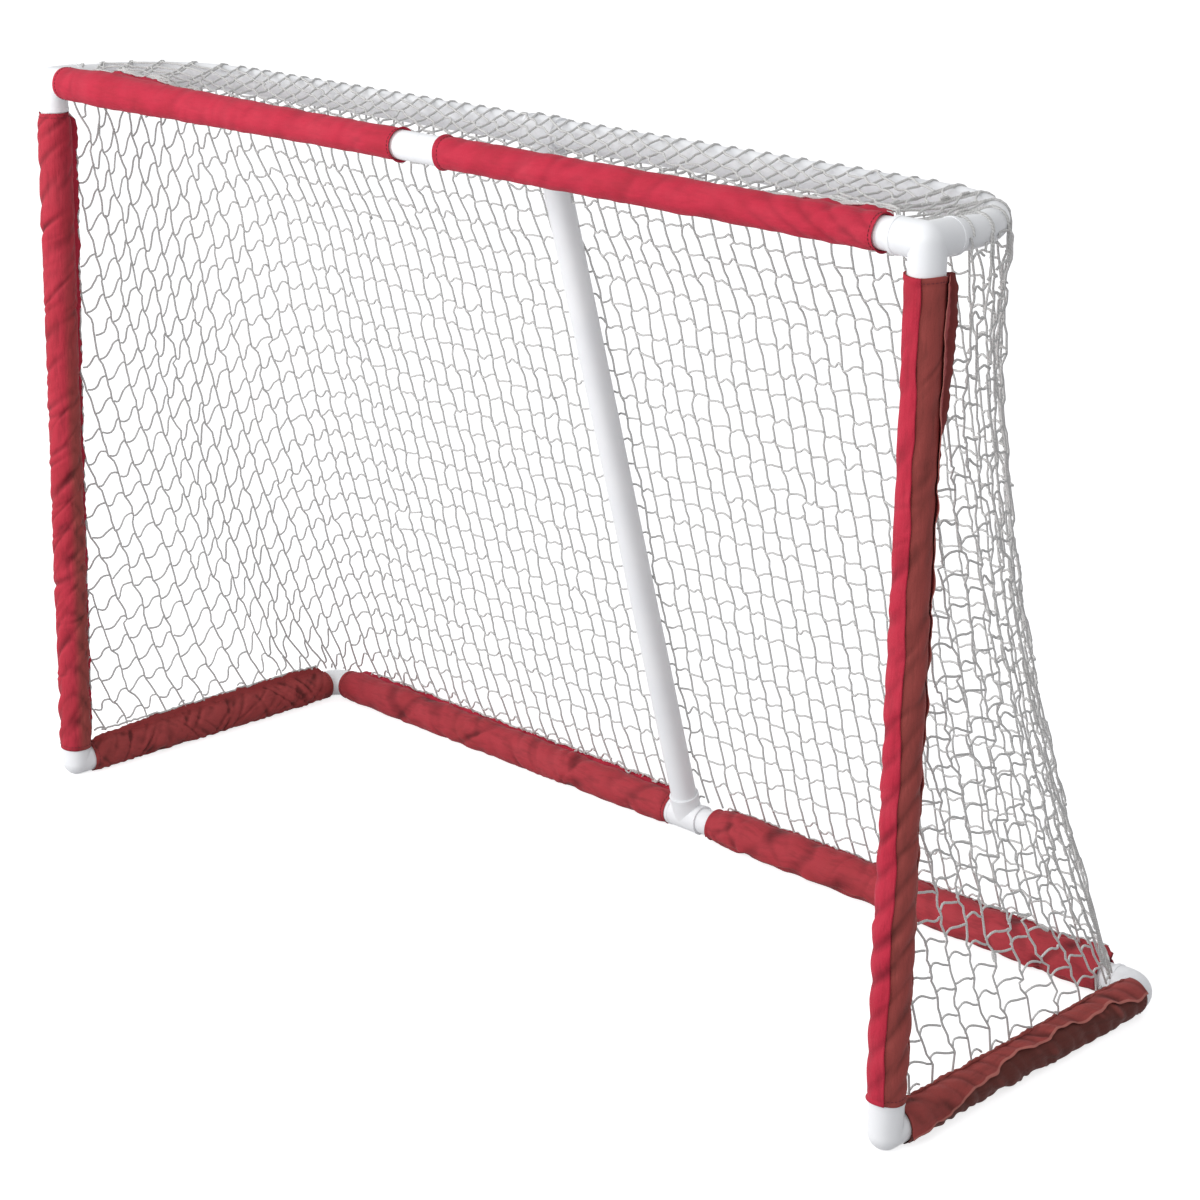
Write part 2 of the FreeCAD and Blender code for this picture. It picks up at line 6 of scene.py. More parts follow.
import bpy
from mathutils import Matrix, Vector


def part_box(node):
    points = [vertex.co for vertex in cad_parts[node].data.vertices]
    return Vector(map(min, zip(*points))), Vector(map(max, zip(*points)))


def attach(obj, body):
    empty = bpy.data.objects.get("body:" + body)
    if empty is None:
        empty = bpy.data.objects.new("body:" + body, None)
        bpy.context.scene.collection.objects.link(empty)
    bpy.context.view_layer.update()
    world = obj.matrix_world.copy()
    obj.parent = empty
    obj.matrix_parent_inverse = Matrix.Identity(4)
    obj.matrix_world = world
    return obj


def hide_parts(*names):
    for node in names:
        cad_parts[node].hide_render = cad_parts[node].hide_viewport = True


bl_info = {
    "name": "Hockey Goal",
    "version": (1, 0, 0),
    "blender": (4, 5, 0),
    "location": "View3D > Sidebar > Hockey Goal",
    "description": "Builds the sleeves, net and finishes of a hockey goal over its packed frame",
    "category": "Add Mesh",
}

import math
from types import SimpleNamespace

import bpy
import numpy as np
from mathutils import Matrix, Vector

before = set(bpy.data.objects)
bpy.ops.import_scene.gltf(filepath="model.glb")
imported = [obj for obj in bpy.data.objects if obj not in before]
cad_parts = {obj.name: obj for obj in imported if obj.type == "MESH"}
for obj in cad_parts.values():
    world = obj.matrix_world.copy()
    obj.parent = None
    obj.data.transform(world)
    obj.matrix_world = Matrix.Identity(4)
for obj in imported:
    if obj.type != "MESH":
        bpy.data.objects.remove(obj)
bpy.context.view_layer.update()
HANDS = {-1: "left", 1: "right"}


def low(node, axis):
    """The lowest coordinate of a node along an axis."""
    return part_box(node)[0]["xyz".index(axis)]


def high(node, axis):
    """The highest coordinate of a node along an axis."""
    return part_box(node)[1]["xyz".index(axis)]


def middle(node, axis):
    """The middle of a node along an axis."""
    return (low(node, axis) + high(node, axis)) / 2


# Places read from the frame.
POST_X = middle("right_post_tube", "x")
FRONT_Y = middle("right_post_tube", "y")
BAR_Z = middle("left_crossbar_tube", "z")
RAIL_Z = middle("right_side_rail_tube", "z")
BACK_Y = middle("left_back_rail_tube", "y")
TUBE_R = (high("right_post_tube", "x") - low("right_post_tube", "x")) / 2
RIM_R = high("top_left_corner_fitting", "z") - BAR_Z
TOP_BACK_Y = high("left_top_bent_tube", "y") - TUBE_R
EDGE_Y = low("left_side_net", "y")
SIDE_LOW_Z = low("left_side_net", "z")
SIDE_TOP_Z = high("left_side_net", "z")
BACK_LOW_Z = low("back_net", "z")

# Sizes that the frame doesn't show.
BEND_R = 0.168          # centre line of the wide bends at the top back corners
STANDOFF = 0.02565      # from the back rail's centre line to the back net
SEAM_REACH = 0.043      # from the back rail's centre line to where its flap is aimed, on the back net
BAR_AIM = 0.0345        # from the crossbar's centre line back to where its flap is aimed
ARM = 0.0481            # from a fitting's centre to the mouth of its socket
TEE_HALF = 0.045        # half the width of the net that passes over the top tee
TWINE_GAP = 0.0014      # from a tube or rim to the middle of the twine on it
CLOTH_GAP = 0.0011      # from a tube or rim to the middle of the cloth on it
TOP_BLEND = 0.24        # height in which the back net leans out to the top tube

# The net's fold between side and back, from the side net: gathered at its foot, and above it bowed in
# further than the part's flat panels are.
FOLD_FOOT = 0.100
FOLD_LOW = 0.120
FOLD_BOW = 0.108
FOLD_SPREAD = 0.060

LEAN = Vector((0.0, TOP_BACK_Y - BACK_Y, BAR_Z - RAIL_Z)).normalized()


def back_y(z):
    """Where the back net is at a height."""
    return BACK_Y + (STANDOFF + (z - RAIL_Z) * LEAN.y) / LEAN.z


# The net's corner is a quarter of an oval: its long half axis against its short one, and the way along it.
SLANT = (back_y(SIDE_TOP_Z) - TOP_BACK_Y) / BEND_R + 1
QUARTER = np.linspace(0.0, math.pi / 2, 181)
ARC_STEPS = np.hypot(np.diff(1 - np.cos(QUARTER)), np.diff(SLANT * np.sin(QUARTER)))
ALONG = np.concatenate([[0.0], np.cumsum(ARC_STEPS)])
CORNER_LENGTH = ALONG[-1]


def smooth(value, start, end):
    """0 before start, 1 after end, and an even curve between them."""
    t = np.clip((value - start) / (end - start), 0.0, 1.0)
    return t * t * (3 - 2 * t)


def read_table(table, at):
    """A value between the rows of a table: each row holds a place and its value."""
    return np.interp(at, *zip(*table))


def reach(z):
    """How far in from the side the net's fold with the back is at a height."""
    share = (np.clip(z, SIDE_LOW_Z, SIDE_TOP_Z) - SIDE_LOW_Z) / (SIDE_TOP_Z - SIDE_LOW_Z)
    fold = FOLD_LOW + (BEND_R - FOLD_LOW) * share + 4 * FOLD_BOW * share * (1 - share)
    return FOLD_FOOT + (fold - FOLD_FOOT) * smooth(z, SIDE_LOW_Z, SIDE_LOW_Z + FOLD_SPREAD)


def wall_length(z):
    """From the goal's middle round the corner to the post, along the net at a height."""
    fold = reach(z)
    side = back_y(z) - SLANT * fold - EDGE_Y
    return POST_X - fold + CORNER_LENGTH * fold + side


def lap(way):
    """From the top tube's centre line to the net that passes over it: more over the tee."""
    return np.where(np.abs(way) < TEE_HALF, RIM_R, TUBE_R) + TWINE_GAP


def wall(c, z):
    """A point of the net and its outward direction: c is the way round from the goal's middle,
    negative to the left, and z the height."""
    c = np.asarray(c, dtype=float)
    z = np.asarray(z, dtype=float)
    side = np.sign(c) + (c == 0)
    way = np.abs(c)
    fold = reach(z)
    back = POST_X - fold
    turn = np.clip((way - back) / (CORNER_LENGTH * fold), 0.0, 1.0)
    angle = np.interp(CORNER_LENGTH * (1 - turn), ALONG, QUARTER)
    rest = np.maximum(way - back - CORNER_LENGTH * fold, 0.0)
    x = np.where(way < back, way, POST_X - fold * (1 - np.cos(angle)))
    y = back_y(z) - SLANT * fold * (1 - np.sin(angle)) - rest
    # Near the top the net leans out to the far side of the tube that it passes over.
    over_x = np.where(way < back, way, POST_X - BEND_R * (1 - np.cos(angle)) + lap(way) * np.cos(angle))
    over_y = TOP_BACK_Y - BEND_R * (1 - np.sin(angle)) + lap(way) * np.sin(angle) - rest
    share = smooth(z, BAR_Z - TOP_BLEND, BAR_Z)
    x = x + (over_x - x) * share
    y = y + (over_y - y) * share
    out = np.stack([side * np.cos(angle), np.sin(angle), 0 * angle], axis=-1)
    return np.stack([side * x, y, z], axis=-1), out


def over_tube(c, lift):
    """A point on the net as it passes over the top tube: lift is 0 at its far side and 1 on top."""
    foot, out = wall(c, BAR_Z)
    turn = lift * math.pi / 2
    upward = math.cos(turn) * out + math.sin(turn) * np.array([0.0, 0.0, 1.0])
    return foot + lap(c) * (upward - out)


# Finishes.
def feed(tree, node, inputs):
    """Sets a node's inputs: each is a plain value or another node's output."""
    for name, value in inputs.items():
        if isinstance(value, bpy.types.NodeSocket):
            tree.links.new(value, node.inputs[name])
        else:
            node.inputs[name].default_value = value


def add_node(tree, kind, inputs=None, **settings):
    """A new node with its settings and inputs."""
    node = tree.nodes.new(kind)
    for name, value in settings.items():
        setattr(node, name, value)
    feed(tree, node, inputs or {})
    return node


def new_material(name):
    """A material, its node tree and its shader."""
    material = bpy.data.materials.new(name)
    material.use_nodes = True
    return material, material.node_tree, material.node_tree.nodes["Principled BSDF"]


def tinted(colour, *shares):
    """A colour with its red, green and blue scaled."""
    return tuple(part * share for part, share in zip(colour, shares))


def noise(tree, coords, scale, detail=3.0, roughness=0.55):
    """A noise texture on the given coordinates."""
    inputs = {"Vector": coords, "Scale": scale, "Detail": detail, "Roughness": roughness}
    return add_node(tree, "ShaderNodeTexNoise", inputs).outputs["Fac"]


def ramp(tree, value, stops):
    """Colours over a value: stops are (place, colour)."""
    node = add_node(tree, "ShaderNodeValToRGB", {"Fac": value})
    elements = node.color_ramp.elements
    for number, (place, colour) in enumerate(stops):
        if number >= 2:
            elements.new(place)
        elements[number].position = place
        elements[number].color = (*colour, 1.0)
    return node.outputs["Color"]


def bump(tree, height, strength, distance, below=None):
    """A bump from a height, over another one if given."""
    inputs = {"Height": height, "Strength": strength, "Distance": distance}
    if below is not None:
        inputs["Normal"] = below
    return add_node(tree, "ShaderNodeBump", inputs).outputs["Normal"]


def worked_out(tree, operation, *values):
    """The result of a sum on plain values or sockets."""
    return add_node(tree, "ShaderNodeMath", dict(enumerate(values)), operation=operation).outputs[0]


# Where a Mix node keeps its sockets for colours.
MIX_A, MIX_B, MIX_RESULT = 6, 7, 2


def mixed(tree, factor, tone, colour, blend):
    """Mixes a plain colour into a tone."""
    inputs = {"Factor": factor, MIX_A: tone, MIX_B: (*colour, 1.0)}
    return add_node(tree, "ShaderNodeMix", inputs, data_type="RGBA", blend_type=blend).outputs[MIX_RESULT]


def mark_of(tree, name):
    """A value that the mesh carries."""
    return add_node(tree, "ShaderNodeAttribute", attribute_name=name).outputs["Fac"]


def plastic_material(colour):
    """White moulded plastic: faintly uneven gloss, fine scuffs and a trace of grime."""
    material, tree, shader = new_material("white_moulded_plastic")
    place = add_node(tree, "ShaderNodeTexCoord").outputs["Object"]
    grime = noise(tree, place, 9.0)
    scuffs = noise(tree, place, 160.0, 6.0, 0.7)
    flow = noise(tree, place, 22.0, 2.0)
    feed(tree, shader, {
        "Base Color": ramp(tree, grime, [(0.3, tinted(colour, 0.95, 0.955, 0.965)), (0.62, tuple(colour))]),
        "Roughness": ramp(tree, scuffs, [(0.35, (0.3, 0.3, 0.3)), (0.75, (0.48, 0.48, 0.48))]),
        "IOR": 1.48,
        "Specular IOR Level": 0.25,
        "Normal": bump(tree, flow, 0.12, 0.0012, bump(tree, scuffs, 0.06, 0.0006)),
    })
    return material


def fabric_material(colour, thread):
    """Coated nylon: a plain weave, painted shade in its pulled streaks and folds, a browner other side of the
    cloth that also stands in for painted shade, and a paler bound hem that on the lip is a painted highlight.
    """
    material, tree, shader = new_material("red_nylon")
    coords = add_node(tree, "ShaderNodeTexCoord").outputs
    streaks = []
    for turn in (0.62, -0.75):
        slanted = add_node(tree, "ShaderNodeMapping", {
            "Vector": coords["UV"], "Rotation": (0.0, 0.0, turn), "Scale": (95.0, 20.0, 1.0)})
        streaks.append(noise(tree, slanted.outputs["Vector"], 1.0, 3.0, 0.6))
    pulled = worked_out(tree, "MULTIPLY", *streaks)
    # Painted crease shade: the hollows of the pulled streaks are darkened.
    dark = ramp(tree, pulled, [(0.12, (1.0, 1.0, 1.0)), (0.24, (0.0, 0.0, 0.0))])
    # Painted shade in the folds: the deeper the crease, and where the wrap lies under a cover or in the flap,
    # the darker the cloth.
    painted_crease_shade = add_node(tree, "ShaderNodeMapRange", {
        "Value": mark_of(tree, "fold"), "From Min": 0.1, "From Max": -1.5, "To Max": 0.85})
    tone = ramp(tree, noise(tree, coords["Object"], 14.0, 4.0), [
        (0.28, tinted(colour, 0.84, 0.9, 0.8)),
        (0.5, tuple(colour)),
        (0.78, tinted(colour, 1.06, 1.5, 1.25)),
    ])
    # Over the tone go the browner other side of the cloth, which also stands in for painted shade, the
    # painted streak and fold shade, and the paler hem, which on the lip is a painted highlight.
    for factor, tint, blend in (
        (mark_of(tree, "reverse_and_painted_shade"), tinted(colour, 0.62, 2.6, 1.05), "MIX"),
        (worked_out(tree, "MULTIPLY", dark, mark_of(tree, "worn")), (0.68, 0.76, 0.73), "MULTIPLY"),
        (painted_crease_shade.outputs["Result"], (0.30, 0.38, 0.36), "MULTIPLY"),
        (mark_of(tree, "hem"), tinted(colour, 1.15, 8.0, 3.2), "MIX"),
    ):
        tone = mixed(tree, factor, tone, tint, blend)
    weave = []
    for direction in "XY":
        wave = add_node(tree, "ShaderNodeTexWave", {
            "Vector": coords["UV"], "Scale": 1.0 / (thread * 20.0), "Distortion": 0.6,
        }, bands_direction=direction)
        weave.append(wave.outputs["Fac"])
    skin = bump(tree, noise(tree, coords["Object"], 60.0, 4.0, 0.6), 0.4, 0.0020)
    skin = bump(tree, pulled, 0.6, 0.0045, skin)
    feed(tree, shader, {
        "Base Color": tone,
        "Roughness": 0.68,
        "Sheen Weight": 0.03,
        "Sheen Roughness": 0.45,
        "Specular IOR Level": 0.12,
        "Normal": bump(tree, worked_out(tree, "MAXIMUM", *weave), 0.35, 0.0003, skin),
    })
    return material


def twine_material(colour, lay):
    """Twisted white twine: two strands laid round each other, with painted shade in the grooves where they
    meet.
    """
    material, tree, shader = new_material("white_twine")
    turns = worked_out(tree, "MULTIPLY_ADD", mark_of(tree, "along"), 1.0 / lay, mark_of(tree, "around"))
    strands = worked_out(tree, "PINGPONG", turns, 0.25)
    feed(tree, shader, {
        # Painted shade: the grooves between the strands are darker.
        "Base Color": ramp(tree, strands, [(0.0, tinted(colour, 0.72, 0.72, 0.72)), (0.12, tuple(colour))]),
        "Roughness": 0.75,
        "Specular IOR Level": 0.25,
        "Normal": bump(tree, strands, 0.5, 0.0015),
    })
    return material


def thread_material(colour):
    """Dark sewing thread."""
    material, tree, shader = new_material("sewing_thread")
    fuzz = noise(tree, add_node(tree, "ShaderNodeTexCoord").outputs["Object"], 900.0)
    feed(tree, shader, {
        "Base Color": ramp(tree, fuzz, [(0.3, tinted(colour, 0.7, 0.7, 0.7)), (0.7, tuple(colour))]),
        "Roughness": 0.8,
    })
    return material


def made(store, name, maker, *values):
    """A material or node tree, made the first time that it is asked for."""
    return store.get(name) or maker(*values)


# Meshes.
def add_object(name, data):
    """A new object in the scene."""
    piece = bpy.data.objects.new(name, data)
    bpy.context.scene.collection.objects.link(piece)
    return piece


def line_mesh(name, lines):
    """Separate open lines as one mesh of edges."""
    edges = []
    start = 0
    for line in lines:
        run = np.arange(start, start + len(line) - 1)
        edges.append(np.stack([run, run + 1], axis=1))
        start += len(line)
    mesh = bpy.data.meshes.new(name)
    mesh.from_pydata(np.concatenate(lines).tolist(), np.concatenate(edges).tolist(), [])
    return mesh


def new_tree(name, sizes):
    """A node tree that takes lines, named sizes with their defaults, and a finish."""
    tree = bpy.data.node_groups.new(name, "GeometryNodeTree")
    new_socket = tree.interface.new_socket
    new_socket("Geometry", in_out="INPUT", socket_type="NodeSocketGeometry")
    for label, default in sizes.items():
        kind = "NodeSocketInt" if isinstance(default, int) else "NodeSocketFloat"
        new_socket(label, in_out="INPUT", socket_type=kind).default_value = default
    new_socket("Material", in_out="INPUT", socket_type="NodeSocketMaterial")
    new_socket("Geometry", in_out="OUTPUT", socket_type="NodeSocketGeometry")
    given = add_node(tree, "NodeGroupInput").outputs
    curves = add_node(tree, "GeometryNodeMeshToCurve", {"Mesh": given["Geometry"]}).outputs["Curve"]
    return tree, given, curves


def finish_tree(tree, geometry, material):
    """Ends a tree in Realize Instances and Set Material."""
    real = add_node(tree, "GeometryNodeRealizeInstances", {"Geometry": geometry})
    coloured = add_node(tree, "GeometryNodeSetMaterial", {
        "Geometry": real.outputs["Geometry"], "Material": material})
    add_node(tree, "NodeGroupOutput", {0: coloured.outputs["Geometry"]})
    return tree


def stored(tree, name, geometry, value):
    """Geometry that carries a named value at each point."""
    inputs = {"Geometry": geometry, "Name": name, "Value": value}
    return add_node(tree, "GeometryNodeStoreNamedAttribute", inputs, domain="POINT").outputs["Geometry"]


def twine_tree():
    """Node tree: lines become round twine, with the way along and around it kept for the material."""
    tree, given, curves = new_tree("Twine", {"Radius": 0.0011, "Sides": 6, "Waver": 0.0004, "Seed": 1})
    chance = add_node(tree, "FunctionNodeRandomValue", {"Seed": given["Seed"], "Min": (-1.0, -1.0, -1.0)},
                      data_type="FLOAT_VECTOR")
    offset = add_node(tree, "ShaderNodeVectorMath", {0: chance.outputs["Value"], "Scale": given["Waver"]},
                      operation="SCALE")
    moved = add_node(tree, "GeometryNodeSetPosition", {
        "Geometry": curves, "Offset": offset.outputs["Vector"]})
    ring = add_node(tree, "GeometryNodeCurvePrimitiveCircle", {
        "Resolution": given["Sides"], "Radius": given["Radius"]})
    way = add_node(tree, "GeometryNodeSplineParameter").outputs
    swept = add_node(tree, "GeometryNodeCurveToMesh", {
        "Curve": stored(tree, "along", moved.outputs["Geometry"], way["Length"]),
        "Profile Curve": stored(tree, "around", ring.outputs["Curve"], way["Factor"]),
        "Fill Caps": True})
    shaded = add_node(tree, "GeometryNodeSetShadeSmooth", {"Geometry": swept.outputs["Mesh"]})
    return finish_tree(tree, shaded.outputs["Geometry"], given["Material"])


def stitch_tree():
    """Node tree: lines become a row of short stitches."""
    tree, given, curves = new_tree("Stitches", {"Spacing": 0.006, "Length": 0.004, "Radius": 0.0004})
    spaced = add_node(tree, "GeometryNodeResampleCurve", {"Curve": curves, "Length": given["Spacing"]},
                      mode="LENGTH")
    stick = add_node(tree, "GeometryNodeMeshCylinder", {
        "Vertices": 5, "Radius": given["Radius"], "Depth": given["Length"]})
    tangent = add_node(tree, "GeometryNodeInputTangent").outputs["Tangent"]
    aim = add_node(tree, "FunctionNodeAlignRotationToVector", {"Vector": tangent}, axis="Z")
    placed = add_node(tree, "GeometryNodeInstanceOnPoints", {
        "Points": spaced.outputs["Curve"], "Instance": stick.outputs["Mesh"],
        "Rotation": aim.outputs["Rotation"]})
    return finish_tree(tree, placed.outputs["Instances"], given["Material"])


def grown(name, lines, tree, values):
    """Runs a node tree over lines and keeps the result as a plain mesh."""
    source = add_object(name + "_lines", line_mesh(name + "_lines", lines))
    modifier = source.modifiers.new(tree.name, "NODES")
    modifier.node_group = tree
    for item in tree.interface.items_tree:
        if item.in_out == "INPUT" and item.name in values:
            modifier[item.identifier] = values[item.name]
    depsgraph = bpy.context.evaluated_depsgraph_get()
    mesh = bpy.data.meshes.new_from_object(
        source.evaluated_get(depsgraph), preserve_all_data_layers=True, depsgraph=depsgraph)
    bpy.data.objects.remove(source)
    mesh.name = name
    mesh.materials.clear()
    mesh.materials.append(values["Material"])
    mesh.polygons.foreach_set("material_index", np.zeros(len(mesh.polygons), dtype=np.int32))
    return add_object(name, mesh)


def ready(piece, slot, *nodes):
    """Marks a finished piece: what it rides on and the nodes that it stands for. slot is not used."""
    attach(piece, "root")
    if nodes:
        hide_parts(*nodes)


# Net.
# By how far round to the left it is, how much higher the next joint to the right is.
LEFT_RISE = (
    (0.68, -0.001), (0.74, 0.006), (0.76, 0.010), (0.79, 0.012), (0.82, 0.019), (0.85, 0.020), (0.88, 0.027),
    (0.91, 0.030), (0.94, 0.031), (0.97, 0.029), (1.00, 0.028), (1.03, 0.025), (1.06, 0.020), (1.15, 0.010))
# How unevenly the joints sit: round the net, in height and in depth.
UNEVEN = (0.0019, 0.0024, 0.0016)
# Rows of joints beyond either end, for the cells that lean, and the height that the rows have to fill.
SPARE_ROWS = 14
ROWS_HEIGHT = 1.3
# Height in which the last cells bunch up on the base sleeves.
BUNCHED = 0.10
# Where a main strand lies in a joint: to the side of its middle and out from it.
MAIN_SIDE = 0.0009
MAIN_OUT = 0.0007
# Where a cross strand lies: to the side of a joint, and in from the mains or, on top, over them.
CROSS_SIDE = 0.0008
CROSS_IN = 0.0012
# How near the bottom and the top a main strand may still have a joint.
LOW_MARGIN = 0.008
TOP_MARGIN = 0.012
# Below the top tube, between these depths, two strands of a pair come together.
PAIR_FROM = 0.105
PAIR_TO = 0.02
# Half the way between two strands that pass over the bend together.
PAIR_HALF = 0.0013
# Where the flaps hold the net's lower edge, from where the frame's own net ends, by hand and at the back.
SIDE_TIE = {-1: (0.0, 0.0, -0.004), 1: (-0.0085, 0.0, -0.0165)}
BACK_TIE = (0.0, 0.018, -0.024)
# How strongly the strands near the bare base elbows run together there, by hand, and in what width and
# height. The strands beside them ease out.
GATHER = {-1: 0.06, 1: 0.50}
GATHER_WIDTH = 0.115
GATHER_HEIGHT = 0.21
EASE = 0.030
# Over what way the pull of the lower flaps fades upward, and that of the posts' flaps backward.
TIE_FADE = 0.028
POST_FADE = 0.035
# Above the bare base elbows the strands are drawn to one place, by hand: where, how strongly, and in what
# width and height.
KNOTS = {
    -1: {"place": (0.016 - POST_X, BACK_Y - 0.020, 0.054), "pull": 0.5, "width": 0.06, "height": 0.07},
    1: {"place": (POST_X - 0.030, BACK_Y - 0.048, 0.046), "pull": 0.88, "width": 0.10, "height": 0.19},
}
# The way round at which the back's net becomes a side's, and at which the last strand passes over the tube.
BACK_ENDS = 0.70
LAST_OVER = float(wall_length(BAR_Z))
# How far the top net's strands run aside for each metre forward, and where the last is tied, by hand.
TOP_SLOPE = {-1: 0.60, 1: 0.16}
TOP_END = {-1: 0.030 - POST_X, 1: POST_X - 0.014}
# From one joint to the next along a top strand, and how much later the next strand's joints come.
TOP_CELL = 0.037
TOP_LAG = 0.021
# How far a top strand sags over the top's depth, and how unevenly it runs aside and down.
TOP_SAG = 0.006
TOP_DEPTH = 0.24
TOP_UNEVEN = (0.0018, 0.0008)

EDGE_HEIGHTS = np.linspace(SIDE_LOW_Z, BAR_Z, 240)
EDGE_LENGTHS = wall_length(EDGE_HEIGHTS)


def right_side(way):
    """0 on the back and 1 past the right corner, where the net hangs slacker."""
    return float(smooth(way, 0.72, 0.9))


def low_end(way):
    """Where the net ends at the bottom."""
    return SIDE_LOW_Z if abs(way) > POST_X else BACK_LOW_Z


def top_end(way):
    """Where a strand ends at the top: over the tube, or at the post's sleeve."""
    if abs(way) <= LAST_OVER:
        return BAR_Z
    return float(np.interp(-abs(way), -EDGE_LENGTHS, EDGE_HEIGHTS))


class NetPlan:
    """The net's main strands and the joints along them."""

    def __init__(self, twine):
        self.twine = twine
        self.rng = np.random.default_rng(twine.seed)
        self.ways = self.main_ways()
        self.height = twine.cell_height
        count = len(self.ways)
        rise = [self.rise((a + b) / 2) for a, b in zip(self.ways, self.ways[1:])]
        start = np.concatenate([[0.0], np.cumsum(rise)])
        self.start = start - start[count // 2] + BACK_LOW_Z
        self.rows = range(-SPARE_ROWS, int(ROWS_HEIGHT / self.height) + SPARE_ROWS)
        shape = (count, len(self.rows))
        shifts = (self.rng.normal(0.0, size, shape) for size in UNEVEN)
        self.side_shift, self.height_shift, self.depth = shifts

    def main_ways(self):
        """How far round from the middle each main strand is."""
        twine = self.twine
        longest = float(wall_length(SIDE_LOW_Z))
        spacing = ((0.68, twine.back_spacing), (0.70, twine.corner_spacing), (1.00, twine.corner_spacing),
                   (1.02, twine.turn_spacing), (1.05, twine.turn_spacing), (1.07, twine.side_spacing))
        half = []
        way = twine.back_spacing / 2
        while way < longest:
            half.append(way)
            way += float(read_table(spacing, way))
        half = np.array(half)
        return np.concatenate([-half[::-1], half])

    def rise(self, way):
        """How much higher the next joint to the right is: the cells lean round the left corner."""
        if way < 0:
            return float(read_table(LEFT_RISE, -way))
        corner = smooth(way, 0.72, 0.86) * (1 - smooth(way, 1.0, 1.2))
        return -0.010 * corner - 0.0015

    def joint(self, i, row):
        """Where a joint is: the way round, the height and the depth."""
        k = row - self.rows[0]
        loose = 1 + 0.5 * right_side(self.ways[i])
        z = self.start[i] + row * self.height + self.height_shift[i, k] * loose
        way = self.ways[i] + self.side_shift[i, k] * loose
        foot = BACK_LOW_Z + 0.002
        if z < foot + BUNCHED:
            z = foot + (z - foot) * (0.80 + 0.20 * max(z - foot, 0.0) / BUNCHED)
        return way, z, self.depth[i, k] * loose


def shifted(way, z):
    """The way round after the net is gathered at the bare base elbows and eased out above them."""
    size = np.abs(way)
    elbow = POST_X - 0.004
    gather = 1 - smooth(z, SIDE_LOW_Z, SIDE_LOW_Z + GATHER_HEIGHT)
    gather = gather * np.exp(-((size - elbow) / GATHER_WIDTH) ** 2) * np.where(way < 0, GATHER[-1], GATHER[1])
    ease = EASE * smooth(size, 0.98, 1.15) * (1 - smooth(z, 0.05, 0.45))
    return np.sign(way) * (size + ease + (elbow - size - ease) * gather)


def tied(way, z):
    """How far the net's lower edge is moved to the flaps that hold it."""
    size = np.abs(way)
    beside = smooth(size, POST_X - 0.05, POST_X + 0.04)
    at_elbow = np.exp(-((size - POST_X) / 0.09) ** 2)
    foot = SIDE_LOW_Z * beside + BACK_LOW_Z * (1 - beside)
    low_down = np.exp(-np.maximum(z - foot, 0.0) / TIE_FADE) * (1 - 0.6 * at_elbow)
    beside = beside[..., None]
    side = np.where(way[..., None] < 0, SIDE_TIE[-1], SIDE_TIE[1])
    return (side * beside + np.array(BACK_TIE) * (1 - beside)) * low_down[..., None]


def surface(way, z, depth):
    """Points of the net from the way round, the height and the depth behind its middle."""
    way = np.asarray(way, dtype=float)
    size = np.abs(way)
    point, out = wall(shifted(way, z), z)
    point = point + out * np.asarray(depth)[..., None] + tied(way, z)
    tips = np.where(way < 0, np.interp(z, *POST_TIPS[-1]), np.interp(z, *POST_TIPS[1]))
    near_post = np.exp(-np.maximum(point[..., 1] - EDGE_Y, 0.0) / POST_FADE) * (size > POST_X)
    point[..., 1] += (tips - EDGE_Y) * near_post
    for hand, knot in KNOTS.items():
        drawn = knot["pull"] * np.exp(-((size - POST_X + 0.01) / knot["width"]) ** 2) * (way * hand > 0)
        drawn = drawn * (1 - smooth(z, SIDE_LOW_Z, SIDE_LOW_Z + knot["height"]))
        point = point + (np.array(knot["place"]) - point) * drawn[..., None]
    return point


def main_line(plan, i, pair):
    """A main strand from its low end to the tube or the post, and its cap if it passes over the tube."""
    way0 = plan.ways[i]
    low_z, top_z = low_end(way0), top_end(way0)
    if top_z - low_z < 0.02:
        return None, None
    half = plan.twine.joint / 2
    rest = plan.height - plan.twine.joint
    stops = [(way0, low_z, 0.0)]
    for row in plan.rows:
        way, z, depth = plan.joint(i, row)
        if low_z + LOW_MARGIN < z < top_z - TOP_MARGIN:
            bow = plan.rng.normal(0.0, 0.0009 + 0.0010 * right_side(way0), 2)
            stops += [
                (way - MAIN_SIDE, z - half, depth + MAIN_OUT),
                (way - MAIN_SIDE, z + half, depth + MAIN_OUT),
                (way + bow[0], z + half + rest * 0.33, depth),
                (way + bow[1], z + half + rest * 0.66, depth),
            ]
    stops = np.array(stops)
    stops = stops[stops[:, 1] < top_z - 0.004]
    stops = np.vstack([stops[np.argsort(stops[:, 1])], (way0, top_z, 0.0)])
    ways, heights, depths = stops.T
    if pair is not None:
        ways = ways + (pair - ways) * smooth(heights, BAR_Z - PAIR_FROM, BAR_Z - PAIR_TO)
    points = surface(ways, heights, depths)
    if top_z < BAR_Z:
        return points, None
    at = way0 if pair is None else pair
    return points, np.array([over_tube(at, lift) for lift in (0.0, 0.25, 0.5, 0.75, 1.0)])


